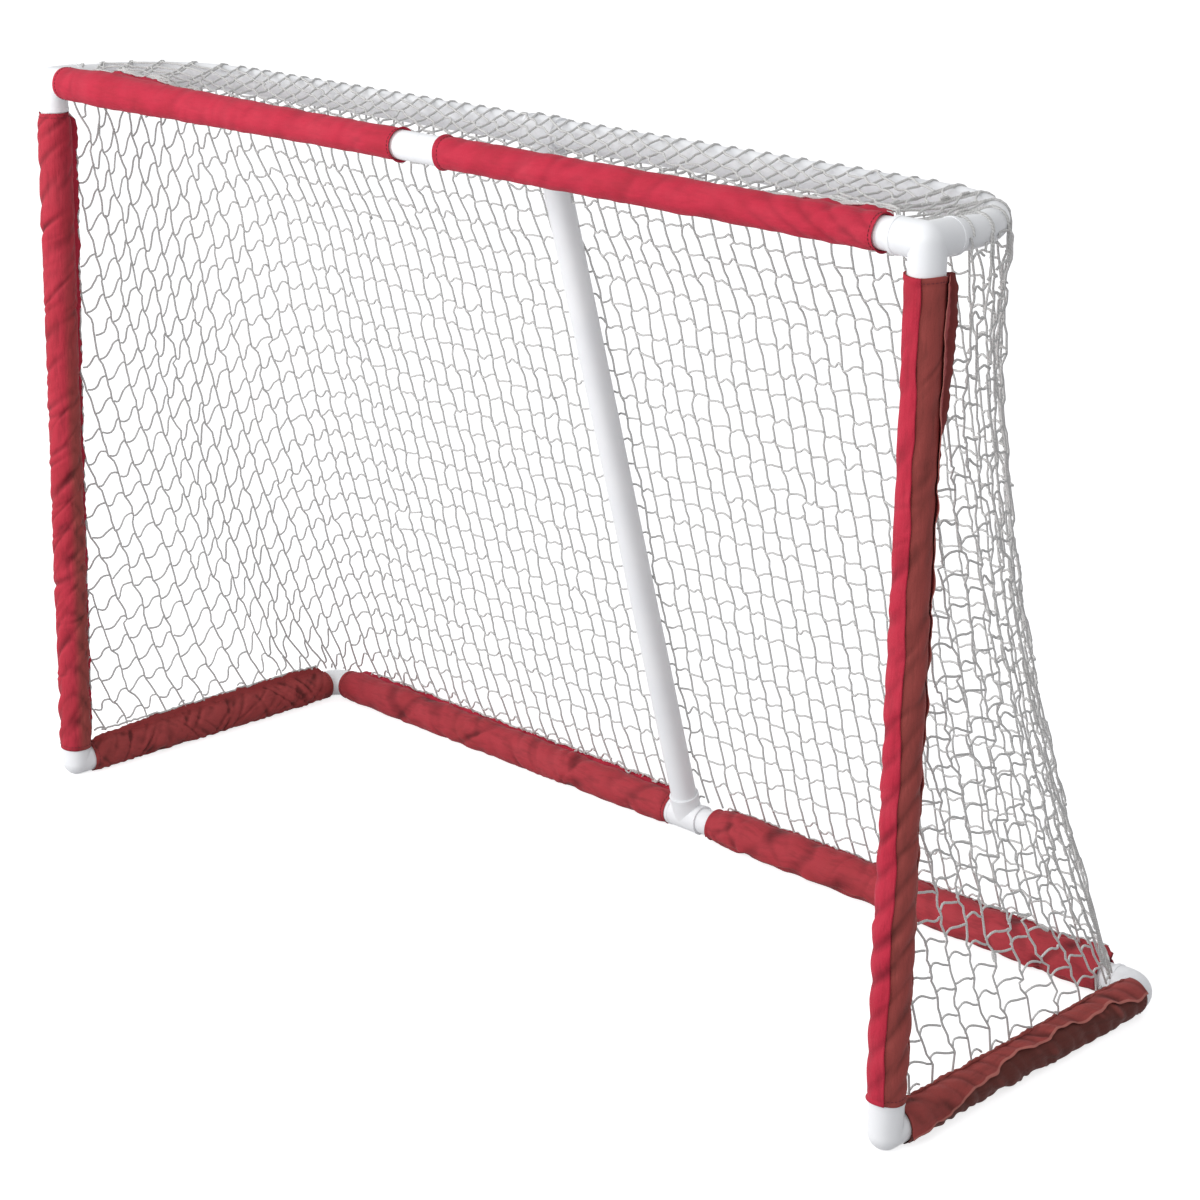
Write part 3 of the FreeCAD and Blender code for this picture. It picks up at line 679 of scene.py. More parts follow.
def cross_line(plan, between, start, end, draws):
    """A cross strand from one joint to the next, cut off at the net's ends: between is the way round
    halfway from main strand to main strand."""
    (way_a, z_a, depth_a), (way_b, z_b, depth_b) = start, end
    near = smooth(between, 0.86, 1.05)
    far = smooth(-between, 0.45, 0.8)
    u = np.linspace(0.0, 1.0, 9)
    # It bows once, twice and three times over its length: more to the right, and the other way to the left.
    once, twice, thrice = (np.sin(n * math.pi * u) for n in (1, 2, 3))
    arch = (0.25 + 0.8 * draws[1] + 2.6 * near) * once
    arch += (-1.1 * far - 0.5 * near - 0.5 + 0.4 * draws[2]) * twice + 0.3 * draws[3] * thrice
    ways = way_a + CROSS_SIDE + (way_b - way_a - 2 * CROSS_SIDE) * (u + 0.07 * draws[0] * once)
    heights = z_a + (z_b - z_a) * u + plan.twine.slack * arch
    depths = depth_a + (depth_b - depth_a) * u - CROSS_IN + 0.003 * draws[4] * once
    limit = np.array([min(BAR_Z - 0.004, top_end(way)) for way in ways])
    keep = (heights > low_end(between) + 0.001) & (heights < limit + 0.0005)
    if keep.sum() < 3:
        return None
    first, last = np.flatnonzero(keep)[[0, -1]]
    part = slice(first, last + 1)
    return surface(ways[part], heights[part], depths[part])


def cross_lines(plan, zone):
    """The cross strands between neighbouring main strands, cell by cell, for one zone of the net."""
    half = plan.twine.joint / 2
    lines = []
    for i, (left, right) in enumerate(zip(plan.ways, plan.ways[1:])):
        between = (left + right) / 2
        if zone_of(between) != zone:
            continue
        low_z, top_a, top_b = low_end(between), top_end(left), top_end(right)
        for row in plan.rows:
            way_a, z_a, depth_a = plan.joint(i, row)
            way_b, z_b, depth_b = plan.joint(i + 1, row)
            z_a -= half
            z_b += half
            draws = plan.rng.normal(0.0, 1.0, 5)
            if max(z_a, z_b) < low_z or z_a > top_a + 0.04 or z_b > top_b + 0.04:
                continue
            if z_a > top_a and z_b > top_b:
                continue
            line = cross_line(plan, between, (way_a, z_a, depth_a), (way_b, z_b, depth_b), draws)
            if line is not None:
                lines.append(line)
    return lines


def zone_of(way):
    """Which piece of the net a way round belongs to."""
    hand = "left" if way < 0 else "right"
    return hand if abs(way) > BACK_ENDS else "back_" + hand


def front_place(way):
    """Where the top net is tied at the crossbar for a strand that starts at a way round."""
    bend = POST_X - BEND_R
    depth = TOP_BACK_Y - FRONT_Y - 0.035
    if abs(way) <= bend:
        return way + np.interp(way, [-bend, bend], [TOP_SLOPE[-1], TOP_SLOPE[1]]) * depth
    hand = -1 if way < 0 else 1
    corner = hand * bend + TOP_SLOPE[hand] * depth
    return corner + (TOP_END[hand] - corner) * (abs(way) - bend) / (LAST_OVER - bend)


def pairs_of(plan):
    """Main strands that pass over the bend together, by twos."""
    pairs = {}
    for hand in HANDS:
        found = [i for i, way in enumerate(plan.ways)
                 if way * hand > POST_X - BEND_R - 0.01 and abs(way) <= LAST_OVER]
        found.sort(key=lambda i: abs(plan.ways[i]))
        for a, b in zip(found[::2], found[1::2]):
            centre = (plan.ways[a] + plan.ways[b]) / 2
            apart = PAIR_HALF * (1 if plan.ways[a] < plan.ways[b] else -1)
            pairs[a] = centre - apart
            pairs[b] = centre + apart
    return pairs


def bar_edge(x):
    """The edge of the crossbar sleeves' flaps at a place along the crossbar."""
    return np.array([x] + [np.interp(x, BAR_TIPS[:, 0], BAR_TIPS[:, n]) for n in (1, 2)])


def top_mains(plan, pairs, rng):
    """The top net's main strands, from the tube forward to the crossbar, with a little slack."""
    u = np.linspace(0.0, 1.0, 12)
    once = np.sin(math.pi * u)
    mains = {}
    for i, way in enumerate(plan.ways):
        if abs(way) > LAST_OVER:
            continue
        start = over_tube(pairs.get(i, way), 1.0)
        end = bar_edge(float(np.clip(front_place(way), 0.012 - POST_X, POST_X - 0.012)))
        length = np.linalg.norm(end - start)
        points = start + (end - start) * u[:, None]
        aside, down = (rng.normal(0.0, size, len(u)) * once for size in TOP_UNEVEN)
        points[:, 0] += aside
        points[:, 2] += -TOP_SAG * once * length / TOP_DEPTH + down
        mains[i] = (u, points, length)
    return mains


def top_lines(plan, pairs):
    """Strands of the top net: mains, and cross strands between them."""
    rng = np.random.default_rng(plan.twine.seed + 7)
    mains = top_mains(plan, pairs, rng)
    lines = [points for _, points, _ in mains.values()]
    u = np.linspace(0.0, 1.0, 7)
    once, twice = np.sin(math.pi * u), np.sin(2 * math.pi * u)
    for a in sorted(mains)[:-1]:
        b = a + 1
        length = min(mains[a][2], mains[b][2])
        for row in range(-40, 60):
            at_a, at_b = (i * TOP_LAG + row * TOP_CELL + rng.normal(0.0, 0.002) for i in (a, b))
            draws = rng.normal(0.0, 1.0, 2)
            if not (0.006 < at_a < length - 0.004 and 0.006 < at_b < length - 0.004):
                continue
            ends = []
            for key, at in ((a, at_a), (b, at_b)):
                places, points, whole = mains[key]
                ends.append(np.array([np.interp(at / whole, places, points[:, n]) for n in range(3)]))
            line = ends[0] + (ends[1] - ends[0]) * u[:, None]
            line[:, 1] += 0.0035 * draws[0] * once + 0.002 * draws[1] * twice
            line[:, 2] += CROSS_IN + 0.0015 * draws[1] * once
            lines.append(line)
    return lines


def top_edges(plan):
    """The net's own edge cord, bunched along the crossbar sleeves' flaps."""
    rng = np.random.default_rng(plan.twine.seed + 21)
    x = np.arange(-POST_X + 0.014, POST_X - 0.010, 0.006)
    edge = np.array([bar_edge(place) for place in x])
    lines = []
    for turn in range(4):
        line = edge.copy()
        wild = rng.uniform(0.4, 1.0, len(x))
        line[:, 1] += 0.001 + 0.0045 * turn + 0.004 * np.sin(x / 0.011 + 2.1 * turn) * wild
        line[:, 2] += 0.0010 + 0.0028 * np.sin(x / 0.013 + turn) * wild
        lines.append(line)
    return lines


def side_edges(plan, hand):
    """The edge cord down a post's flap, and at the left on along the side rail's flap: at the right the
    hem of the rail's sleeve hides it."""
    rng = np.random.default_rng(plan.twine.seed + 31 + hand)
    z = np.arange(SIDE_TOP_Z, SIDE_LOW_Z + 0.004, -0.007)
    y = np.interp(z, *POST_TIPS[hand]) + 0.0002 + 0.0022 * rng.random(len(z))
    x = hand * POST_X + 0.0012 * rng.normal(0.0, 1.0, len(z))
    down = np.stack([x, y, z], axis=1)
    if hand > 0:
        return [down]
    y = np.arange(EDGE_Y + 0.01, BACK_Y - 0.05, 0.007)
    z = SIDE_LOW_Z + SIDE_TIE[hand][2] + 0.0010 + 0.0035 * rng.random(len(y))
    x = hand * POST_X + SIDE_TIE[hand][0] + 0.0012 * rng.normal(0.0, 1.0, len(y))
    return [down, np.stack([x, y, z], axis=1)]


def back_edges(plan, hand):
    """The edge cord along a back rail sleeve's flap."""
    rng = np.random.default_rng(plan.twine.seed + 41 + hand)
    line = back_rail_wrap(hand).tip_line()[::2]
    line = line[np.abs(line[:, 0]) < POST_X - 0.075]
    line[:, 1] += 0.0012 * rng.normal(0.0, 1.0, len(line))
    line[:, 2] += 0.0010 + 0.0030 * rng.random(len(line))
    return [line]


# Sleeves.
CLOTH_R = 0.026             # round which a width of cloth is counted as an angle
CLOTH_GRID = 0.0034         # from row to row of the sheet
CLOTH_THICKNESS = 0.0009
FLAP_ANGLE = 0.10           # half the angle that the flap's seam takes up
FLAP_DEPTH = 0.013          # from the flap's seam to its edge
FLAP_SIDE = 0.0009          # from the flap's middle to the cloth on either side of it,
FLAP_OUTSIDE = 0.0029       # and to the cloth that runs on into the cover or the lip
JAG = 0.0017                # height of the teeth in the flap's pinked edge
JAG_STEP = 0.0075           # and their length
COVER_LIFT = 0.0019         # from the wrap to the cover over it
LIP_LIFT = 0.0026           # from the wrap to the lip over it
HEM_WIDTH = 0.0024          # of the cover's bound edge
STITCH_LIFT = 0.0008        # from the flap's cloth to its stitches
STITCH_R = 0.0004
STITCH_SHARE = 0.65         # length of a stitch for each stitch spacing
END_SEAM = 0.008            # from a sleeve's end to the stitches round it
END_REACH = 0.011           # how far from its ends a sleeve starts to lie tight,
END_PRESS = 0.92            # and how much of its looseness is gone there
SNUG = 0.0014               # how loose a wrap may be before it hangs toward its flap
SAG = 0.4                   # share of the rest of its looseness that hangs there
FLOOR_GAP = 0.0012          # from the floor to the lowest cloth
SHADE = 0.002               # depth of a crease that counts as full painted crease shade in the cloth's colour
LEVEL = ((0.0, 0.0), (1.0, 0.0))

# Tables hold (share of the sleeve's length, value). Each sleeve's own list gives its seed, the wrap's radius
# and how uneven that is (ripple), where the flap's edge is from the tube's centre line, the pulled creases
# (marks: how many, their length, width and depth), their angle (lean) and the painted shade of its streaks.
# A cover has a hem (waver of its edge: size and length) and a ridge (how far the edge stands up).
# The rest is as follows if the list doesn't say otherwise.
PLAIN_WRAP = {
    "turn": 1,                  # -1 wraps it the other way round
    "beyond": (0.0, 0.0),       # how much further its ends go than the part's own sleeve
    "rims": (0.0, 0.0),         # how far in from its ends it lies on a fitting's rim
    "swing": LEVEL,             # angle by which the flap is pulled aside
    "square": False,            # whether the flap's ends are square
    "pucker": LEVEL,            # height of the even puckers
    "step": 0.049,              # from pucker to pucker
    "twist": 0.8,               # how far a pucker winds round the sleeve
    "crossed": False,           # whether the pulled creases lean both ways
    "cover": None,              # a second turn of cloth: angle of its edge
    "piping": 0.0,              # how pale the cover's bound edge is
    "lip": None,                # an edge turned out beside the flap: its angle
    "back": 0.0,                # how much the wrap shows the browner colour of the cloth's other side, which also paints shade on it
    "tan": None,                # where painted shade adds to that on the side turned from the light: from which angle, how much more, up to which share
    "cover_back": 0.0,          # how much of that browner colour, with its painted shade, the cover shows
    "flap_back": 0.0,           # how much of it, with its painted shade, the flap shows
    "under": 0.0,               # how deep in the cover's shade the wrap is
    "flap_dark": 0.0,           # how deep in shade the flap is
}

SLEEVES = {
    "left_crossbar_sleeve": {
        "seed": 11, "rims": (0.0131, 0.0), "beyond": (-0.009, 0.0), "lean": 1.2, "ripple": 0.0003,
        "radius": ((0, 0.0256), (0.05, 0.0262), (0.12, 0.0284), (0.22, 0.0272), (0.32, 0.0256), (0.5, 0.0244),
                   (0.78, 0.0226), (1, 0.0224)),
        "flap": ((0, 0.033), (0.06, 0.040), (0.2, 0.043), (0.35, 0.039), (0.6, 0.037), (1, 0.036)),
        "swing": ((0, -0.25), (0.1, 0.0), (0.22, -0.05), (0.36, -0.38), (0.6, -0.52), (1, -0.55)),
        "marks": ((16, 0.07, 0.012, 0.0007), (26, 0.035, 0.006, 0.0005)), "worn": 0.35,
    },
    "right_crossbar_sleeve": {
        "seed": 12, "lean": 1.0, "ripple": 0.0003,
        "radius": ((0, 0.0226), (0.3, 0.0228), (0.75, 0.0230), (0.9, 0.0238), (1, 0.0232)),
        "flap": ((0, 0.036), (0.6, 0.037), (0.85, 0.041), (1, 0.041)),
        "swing": ((0, -0.52), (0.6, -0.48), (0.85, -0.16), (1, -0.10)),
        "pucker": ((0, 0.0), (0.7, 0.0003), (0.85, 0.0016), (1, 0.0016)),
        "marks": ((16, 0.07, 0.012, 0.0007), (34, 0.030, 0.006, 0.0007)), "worn": 0.35,
    },
    "left_post_sleeve": {
        "seed": 21, "lean": -0.85, "ripple": 0.0003,
        "radius": ((0, 0.0256), (0.1, 0.0252), (0.3, 0.0262), (0.5, 0.0256), (0.8, 0.0260), (1, 0.0264)),
        "flap": ((0, 0.033), (0.2, 0.034), (0.6, 0.037), (0.85, 0.042), (1, 0.043)),
        "pucker": ((0, 0.0026), (0.4, 0.0022), (0.55, 0.0008), (1, 0.0002)), "twist": 1.1,
        "marks": ((30, 0.045, 0.008, 0.0020), (80, 0.034, 0.0036, 0.0014)),
        "worn": 0.8, "tan": (4.1, 0.7, 0.7), "back": 0.16,
    },
    "right_post_sleeve": {
        "seed": 22, "turn": -1, "lean": 0.75, "ripple": 0.0003,
        "radius": ((0, 0.0250), (0.12, 0.0250), (0.22, 0.0254), (0.32, 0.0236), (0.42, 0.0232),
                   (0.52, 0.0242), (0.62, 0.0230), (0.9, 0.0232), (1, 0.0250)),
        "flap": ((0, 0.029), (0.5, 0.029), (0.8, 0.036), (0.88, 0.043), (1, 0.044)),
        "swing": ((0, 0.0), (0.72, 0.0), (0.88, 0.30), (1, 0.42)),
        "cover": ((0, 2.66), (0.3, 2.58), (0.6, 2.68), (1, 2.72)), "hem": (0.0011, 0.15), "ridge": 0.0006,
        "lip": ((0, 0.35), (0.5, 0.6), (0.68, 1.0), (0.8, 1.22), (1, 1.16)), "square": True,
        "pucker": ((0, 0.0020), (0.4, 0.0026), (0.52, 0.0016), (0.62, 0.0006), (1, 0.0004)), "twist": -0.7,
        "marks": ((30, 0.042, 0.009, 0.0014), (50, 0.026, 0.0045, 0.0010)),
        "worn": 0.6, "back": 0.90, "flap_dark": 0.9, "flap_back": 0.8,
    },
    "left_side_rail_sleeve": {
        "seed": 31, "lean": 0.78, "crossed": True, "rims": (0.0242, 0.014), "beyond": (0.036, 0.014),
        "radius": ((0, 0.0258), (0.1, 0.0262), (0.5, 0.0278), (0.85, 0.0272), (1, 0.0250)),
        "flap": ((0, 0.034), (0.1, 0.034), (0.25, 0.040), (0.5, 0.042), (0.85, 0.043), (1, 0.037)),
        "pucker": ((0, 0.0006), (1, 0.0010)), "ripple": 0.0007,
        "marks": ((22, 0.055, 0.009, 0.0021), (130, 0.045, 0.0034, 0.0019)),
        "back": 0.72, "worn": 0.35, "flap_back": 0.7,
    },
    "right_side_rail_sleeve": {
        "seed": 32, "turn": -1, "lean": 0.5, "rims": (0.0242, 0.020), "beyond": (0.048, 0.020),
        "radius": ((0, 0.0264), (0.15, 0.0250), (0.4, 0.0246), (0.6, 0.0262), (0.8, 0.0266), (1, 0.0276)),
        "flap": ((0, 0.0295), (0.5, 0.0295), (0.9, 0.031), (1, 0.0305)), "swing": ((0, 0.30), (1, 0.30)),
        "cover": ((0, 4.25), (0.2, 4.85), (0.37, 5.38), (0.57, 5.41), (0.8, 5.33), (0.93, 5.12), (1, 5.04)),
        "hem": (0.0024, 0.11), "ridge": 0.0028, "piping": 0.55, "under": 0.0044,
        "pucker": ((0, 0.0012), (0.3, 0.0024), (1, 0.0024)), "step": 0.031, "ripple": 0.0006,
        "marks": ((18, 0.045, 0.010, 0.0024), (50, 0.024, 0.0050, 0.0024)),
        "back": 1.0, "cover_back": 0.85, "flap_back": 0.95, "worn": 0.7,
    },
    "left_back_rail_sleeve": {
        "seed": 41, "lean": 0.75, "crossed": True, "rims": (0.0166, 0.0), "beyond": (0.0166, 0.0),
        "radius": ((0, 0.0262), (0.1, 0.0280), (0.6, 0.0288), (1, 0.0268)), "ripple": 0.0007,
        "flap": ((0, 0.038), (1, 0.039)), "swing": ((0, -0.60), (1, -0.62)),
        "pucker": ((0, 0.0008), (1, 0.0008)),
        "marks": ((30, 0.045, 0.010, 0.0020), (60, 0.030, 0.0050, 0.0015)), "back": 0.40, "worn": 0.8,
    },
    "right_back_rail_sleeve": {
        "seed": 42, "turn": -1, "lean": 0.75, "crossed": True, "rims": (0.0, 0.015), "beyond": (0.0, 0.015),
        "radius": ((0, 0.0276), (0.1, 0.0290), (0.6, 0.0296), (1, 0.0270)), "ripple": 0.0008,
        "flap": ((0, 0.037), (0.9, 0.038), (1, 0.043)), "swing": ((0, 0.66), (0.9, 0.60), (1, 0.20)),
        "cover": ((0, 3.9), (1, 3.85)), "hem": (0.0024, 0.13), "ridge": 0.0006, "piping": 0.15,
        "pucker": ((0, 0.0009), (1, 0.0009)), "square": True,
        "marks": ((28, 0.045, 0.010, 0.0020), (60, 0.030, 0.0050, 0.0015)),
        "back": 0.45, "cover_back": 0.40, "flap_back": 0.4, "flap_dark": 0.5, "worn": 0.8,
    },
}


def creases(wrap, count, long, width, depth):
    """Random pulled creases: angle round, place along, direction, length, width and depth."""
    rng, look = wrap.rng, wrap.look
    found = []
    for _ in range(count):
        way = rng.choice([-1.0, 1.0]) if look.crossed else 1.0
        found.append((rng.uniform(0, 2 * math.pi), rng.uniform(0.0, wrap.length),
                      way * rng.normal(look.lean, 0.22), long * rng.uniform(0.6, 1.5),
                      width * rng.uniform(0.7, 1.5), depth * rng.uniform(0.4, 1.2)))
    return found


def crumple(angle, along, marks):
    """Height of the creased cloth above its plain round shape."""
    height = np.zeros(np.broadcast(angle, along).shape)
    for at, place, lean, long, wide, deep in marks:
        x = ((angle - at + math.pi) % (2 * math.pi) - math.pi) * CLOTH_R
        y = along - place
        across = (x * math.cos(lean) + y * math.sin(lean)) / wide
        line = (-x * math.sin(lean) + y * math.cos(lean)) / long
        height += -deep * np.exp(-line ** 2 - across ** 2 / 2) * (1 - across ** 2)
    return height


def waves(rng, along, sizes):
    """A smooth random wave: sizes are (height, length) of its parts."""
    total = np.zeros_like(along)
    for height, length in sizes:
        total += height * np.sin(2 * math.pi * along / length + rng.uniform(0, 2 * math.pi))
    return total


class Wrap:
    """How one sleeve is wrapped, creased and hemmed."""

    def __init__(self, node, start, along, pull, length, **places):
        look = SimpleNamespace(**{**PLAIN_WRAP, **SLEEVES[node], **places})
        fore, aft = look.beyond
        self.node = node
        self.look = look
        self.along = np.array(along, dtype=float)
        self.start = np.array(start) - self.along * fore
        self.pull = np.array(pull, dtype=float) / np.linalg.norm(pull)
        self.side = np.cross(self.along, self.pull) * look.turn
        self.length = length + fore + aft
        self.s = np.linspace(0.0, self.length, int(self.length / CLOTH_GRID) + 1)
        self.share = self.s / self.length
        self.rng = np.random.default_rng(look.seed)
        self.radius = read_table(look.radius, self.share)
        self.radius += waves(self.rng, self.s, [(look.ripple, 0.11), (look.ripple * 0.6, 0.047)])
        serrated = JAG * (np.abs((self.s / JAG_STEP) % 2 - 1) - 0.5)
        self.tip = read_table(look.flap, self.share) + serrated + waves(self.rng, self.s, [(0.0008, 0.06)])
        self.swing = read_table(look.swing, self.share)[:, None]
        self.pucker = read_table(look.pucker, self.share)[:, None]
        from_ends = (self.s, self.length - self.s)
        self.open = 1 - END_PRESS * sum(np.exp(-(place / END_REACH) ** 2) for place in from_ends)
        self.rim = np.full(len(self.s), TUBE_R + CLOTH_GAP)
        for over, place in zip(look.rims, from_ends):
            on_rim = 1 - smooth(place, over + 0.001, over + 0.006)
            self.rim = np.maximum(self.rim, (RIM_R + CLOTH_GAP) * on_rim)
        # How far out the flap's seam is, and how far the loose cloth hangs toward its flap.
        self.root = np.maximum(self.tip - FLAP_DEPTH, self.radius * 0.99)[:, None]
        rest = RIM_R if max(look.rims) > 0 else TUBE_R
        self.shift = (np.maximum(self.radius - rest - SNUG, 0.0) * SAG * self.open)[:, None]
        self.marks = []
        for count, long, width, depth in look.marks:
            self.marks += creases(self, count, long, width, depth)

    def turned(self, x, y, share):
        """Turns a point of the section by part of the flap's swing."""
        angle = self.swing * share
        return x * np.cos(angle) - y * np.sin(angle), x * np.sin(angle) + y * np.cos(angle)

    def placed(self, x, y, s):
        """Points of the section in the frame's coordinates, pressed flat on the floor."""
        points = self.start + x[..., None] * self.pull + y[..., None] * self.side + s[..., None] * self.along
        sunk = np.maximum(FLOOR_GAP - points[..., 2], 0.0)
        across = 1 if abs(self.along[0]) > 0.5 else 0
        points[..., across] += 0.8 * sunk * np.sign(points[..., across] - self.start[across])
        points[..., 2] += sunk
        return points

    def round_points(self, angle, lift):
        """Points round the tube, at a height above the cloth, and the depth of the creases."""
        s = self.s[:, None] + 0 * angle
        near = np.minimum(angle, 2 * math.pi - angle)
        pinch = np.clip(1 - near / 0.95, 0.0, 1.0) ** 2.2
        phase = s / self.look.step + self.look.twist * np.sin(angle + 0.6)
        bulge = self.pucker * (np.abs(np.sin(math.pi * phase)) - 0.62)
        fold = crumple(angle, s, self.marks) + bulge
        base = self.radius[:, None]
        r = base + (self.root - base) * pinch + fold * (1 - pinch)
        rim = self.rim[:, None]
        r = np.maximum(rim + (r - rim) * self.open[:, None], rim) + lift
        x = r * np.cos(angle) + self.shift
        y = r * np.sin(angle)
        push = np.maximum((rim + lift) / np.hypot(x, y), 1.0)
        x, y = self.turned(x * push, y * push, 1 - smooth(near, 0.3, 1.7))
        ends = np.exp(-s / 0.02) - np.exp(-(self.length - s) / 0.02)
        uneven = 0.0006 * np.sin(2 * angle + 1.3) + 0.0005 * np.sin(3 * angle + self.length * 40)
        return self.placed(x, y, s + uneven * ends), fold

    def flap_points(self, out, aside):
        """Points on the flap: out is 0 at its seam and 1 at its edge."""
        out = np.array(out)[None, :]
        rounded = 1.0 if self.look.square else 1 - 0.75 * (1 - self.open[:, None]) / END_PRESS
        x = self.root * np.minimum(self.open[:, None] * 0.3 + 0.7, 1.0)
        x = x + (self.tip[:, None] - self.root) * out * rounded + self.shift * (1 - out)
        bend = waves(np.random.default_rng(3), self.s, [(0.0016, 0.09), (0.0009, 0.033)])[:, None] * out
        x, y = self.turned(x, aside + bend, 1.0)
        return self.placed(x, y, self.s[:, None] + 0 * x)

    def tip_line(self):
        """The flap's edge."""
        return self.flap_points([0.92], 0.0)[:, 0]


def flap_strip(wrap, out, aside):
    """One side of the flap: its points, crease depth with its painted shade, hem, and how much it shows the
    cloth's browner other side with painted shade.
    """
    still = np.zeros((len(wrap.s), len(out)))
    dark = still - SHADE * wrap.look.flap_dark
    return wrap.flap_points(out, aside), dark, still, still + wrap.look.flap_back


def body_strip(wrap):
    """The cloth once round the tube: its points, crease depth with the painted shade under a cover, hem, how
    much it shows the cloth's browner other side with painted shade, and its two sewn ends.
    """
    look = wrap.look
    angles = np.linspace(FLAP_ANGLE, 2 * math.pi - FLAP_ANGLE, 64)[None, :] + 0 * wrap.s[:, None]
    body, fold = wrap.round_points(angles, 0.0)
    # How much the wrap shows the cloth's browner other side, which also stands in for painted shade.
    shown_reverse_and_shade = np.full(fold.shape, look.back)
    # Painted shade: past an angle, on the side turned from the light, the wrap shows more of the browner
    # colour, fading out above a share of the length.
    if look.tan:
        start, amount, top = look.tan
        below = 1 - smooth(wrap.share[:, None], top - 0.25, top + 0.25)
        shown_reverse_and_shade += amount * smooth(angles, start, start + 0.6) * below
    lifted = wrap.round_points(angles, 0.0009)[0]
    rings = [lifted[int(np.argmin(np.abs(wrap.s - place)))] for place in (END_SEAM, wrap.length - END_SEAM)]
    # The wrap's crease depth is lowered by the painted shade under the cover.
    return (body, fold - look.under, 0 * fold, shown_reverse_and_shade), rings


def cover_strip(wrap):
    """The second turn of cloth, from the flap round to its own bound edge."""
    look = wrap.look
    size, length = look.hem
    waver = waves(wrap.rng, wrap.s, [(size / CLOTH_R, length), (size * 0.4 / CLOTH_R, length * 0.37)])
    span = (2 * math.pi - FLAP_ANGLE - read_table(look.cover, wrap.share) - waver)[:, None]
    part = (np.arange(40) / 39) ** 0.85
    curl = np.maximum(waves(wrap.rng, wrap.s, [(0.0012, 0.083), (0.0008, 0.047)]) + look.ridge, 0.0)
    from_edge = (1 - part) * span
    lift = COVER_LIFT + curl[:, None] * np.exp(-(from_edge / 0.16) ** 2)
    points, fold = wrap.round_points(2 * math.pi - FLAP_ANGLE - span * part, lift)
    bound = from_edge < HEM_WIDTH / CLOTH_R
    return points, fold, look.piping * bound, 0 * fold + look.cover_back


def lip_strip(wrap):
    """The cloth's other edge, turned out beside the flap, from its curled edge back to the flap."""
    edge = read_table(wrap.look.lip, wrap.share) + waves(wrap.rng, wrap.s, [(0.05, 0.12), (0.04, 0.052)])
    part = np.linspace(1.0, 0.0, 14)
    curl = 0.0012 + np.maximum(waves(wrap.rng, wrap.s, [(0.0014, 0.092), (0.0009, 0.051)]), -0.0006)
    angles = FLAP_ANGLE + (edge[:, None] - FLAP_ANGLE) * part
    points, fold = wrap.round_points(angles, LIP_LIFT + curl[:, None] * part ** 4)
    # The curled edge is paled as a painted highlight, and the lip shows the cloth's browner other side,
    # partly painted shade.
    return points, fold, 0.7 * (part > 0.9) + 0 * fold, 0 * fold + 0.60


def sleeve_grid(wrap):
    """The sleeve as one sheet: flap, once round the tube, flap again, and any cover and lip."""
    out = [1.0, 0.6, 0.25]
    back_in = out[::-1]
    body, rings = body_strip(wrap)
    strips = [flap_strip(wrap, out, FLAP_SIDE), body, flap_strip(wrap, back_in, -FLAP_SIDE)]
    sides = [FLAP_SIDE, -FLAP_OUTSIDE if wrap.look.cover else -FLAP_SIDE]
    seams = [wrap.flap_points([0.15], side + math.copysign(STITCH_LIFT, side))[:, 0] for side in sides]
    if wrap.look.cover:
        strips += [flap_strip(wrap, out, -FLAP_OUTSIDE), cover_strip(wrap)]
    if wrap.look.lip:
        strips = [lip_strip(wrap), flap_strip(wrap, back_in, FLAP_OUTSIDE)] + strips
    grid, fold, hem, reverse_and_painted_shade = (np.concatenate(values, axis=1) for values in zip(*strips))
    # fold carries the creases' depth with painted shade added; the other side's share and the streak mark
    # paint shade too, and hem pales the bound edge and, on the lip, paints a highlight.
    marks = {"fold": fold / SHADE, "hem": hem, "reverse_and_painted_shade": reverse_and_painted_shade, "worn": 0 * fold + wrap.look.worn}
    return grid, marks, seams + rings


def sheet_area(points, quads):
    """The area of a sheet of four-sided faces."""
    area = 0.0
    for second, third in ((1, 2), (2, 3)):
        p, q, r = (points[quads[:, n]] for n in (0, second, third))
        area += 0.5 * np.linalg.norm(np.cross(q - p, r - p), axis=1).sum()
    return area


def cloth_object(wrap, grid, marks, cloth):
    """A grid of points as a sheet with its own width and length as its UV map, and the sheet's area."""
    rows, across = grid.shape[:2]
    index = np.arange(rows * across).reshape(rows, across)
    quads = np.stack([index[:-1, :-1], index[:-1, 1:], index[1:, 1:], index[1:, :-1]], axis=-1).reshape(-1, 4)
    if wrap.look.turn < 0:
        quads = quads[:, ::-1]
    points = grid.reshape(-1, 3)
    mesh = bpy.data.meshes.new(wrap.node + "_cloth")
    mesh.from_pydata(points.tolist(), [], quads.tolist())
    widths = np.linalg.norm(np.diff(grid[rows // 2], axis=0), axis=1)
    width = np.concatenate([[0.0], np.cumsum(widths)])
    layer = mesh.uv_layers.new(name="UVMap")
    corners = np.empty(len(mesh.loops), dtype=np.int32)
    mesh.loops.foreach_get("vertex_index", corners)
    uv = np.stack([width[corners % across], corners // across * wrap.length / (rows - 1)], axis=1)
    layer.data.foreach_set("uv", uv.ravel())
    for name, values in marks.items():
        mark = mesh.attributes.new(name, "FLOAT", "POINT")
        mark.data.foreach_set("value", values.astype(np.float32).ravel())
    mesh.polygons.foreach_set("use_smooth", np.ones(len(mesh.polygons), dtype=bool))
    mesh.materials.append(cloth)
    piece = add_object(wrap.node + "_cloth", mesh)
    thickness = piece.modifiers.new("Cloth thickness", "SOLIDIFY")
    thickness.thickness = CLOTH_THICKNESS
    thickness.offset = 0.0
    return piece, sheet_area(points, quads)


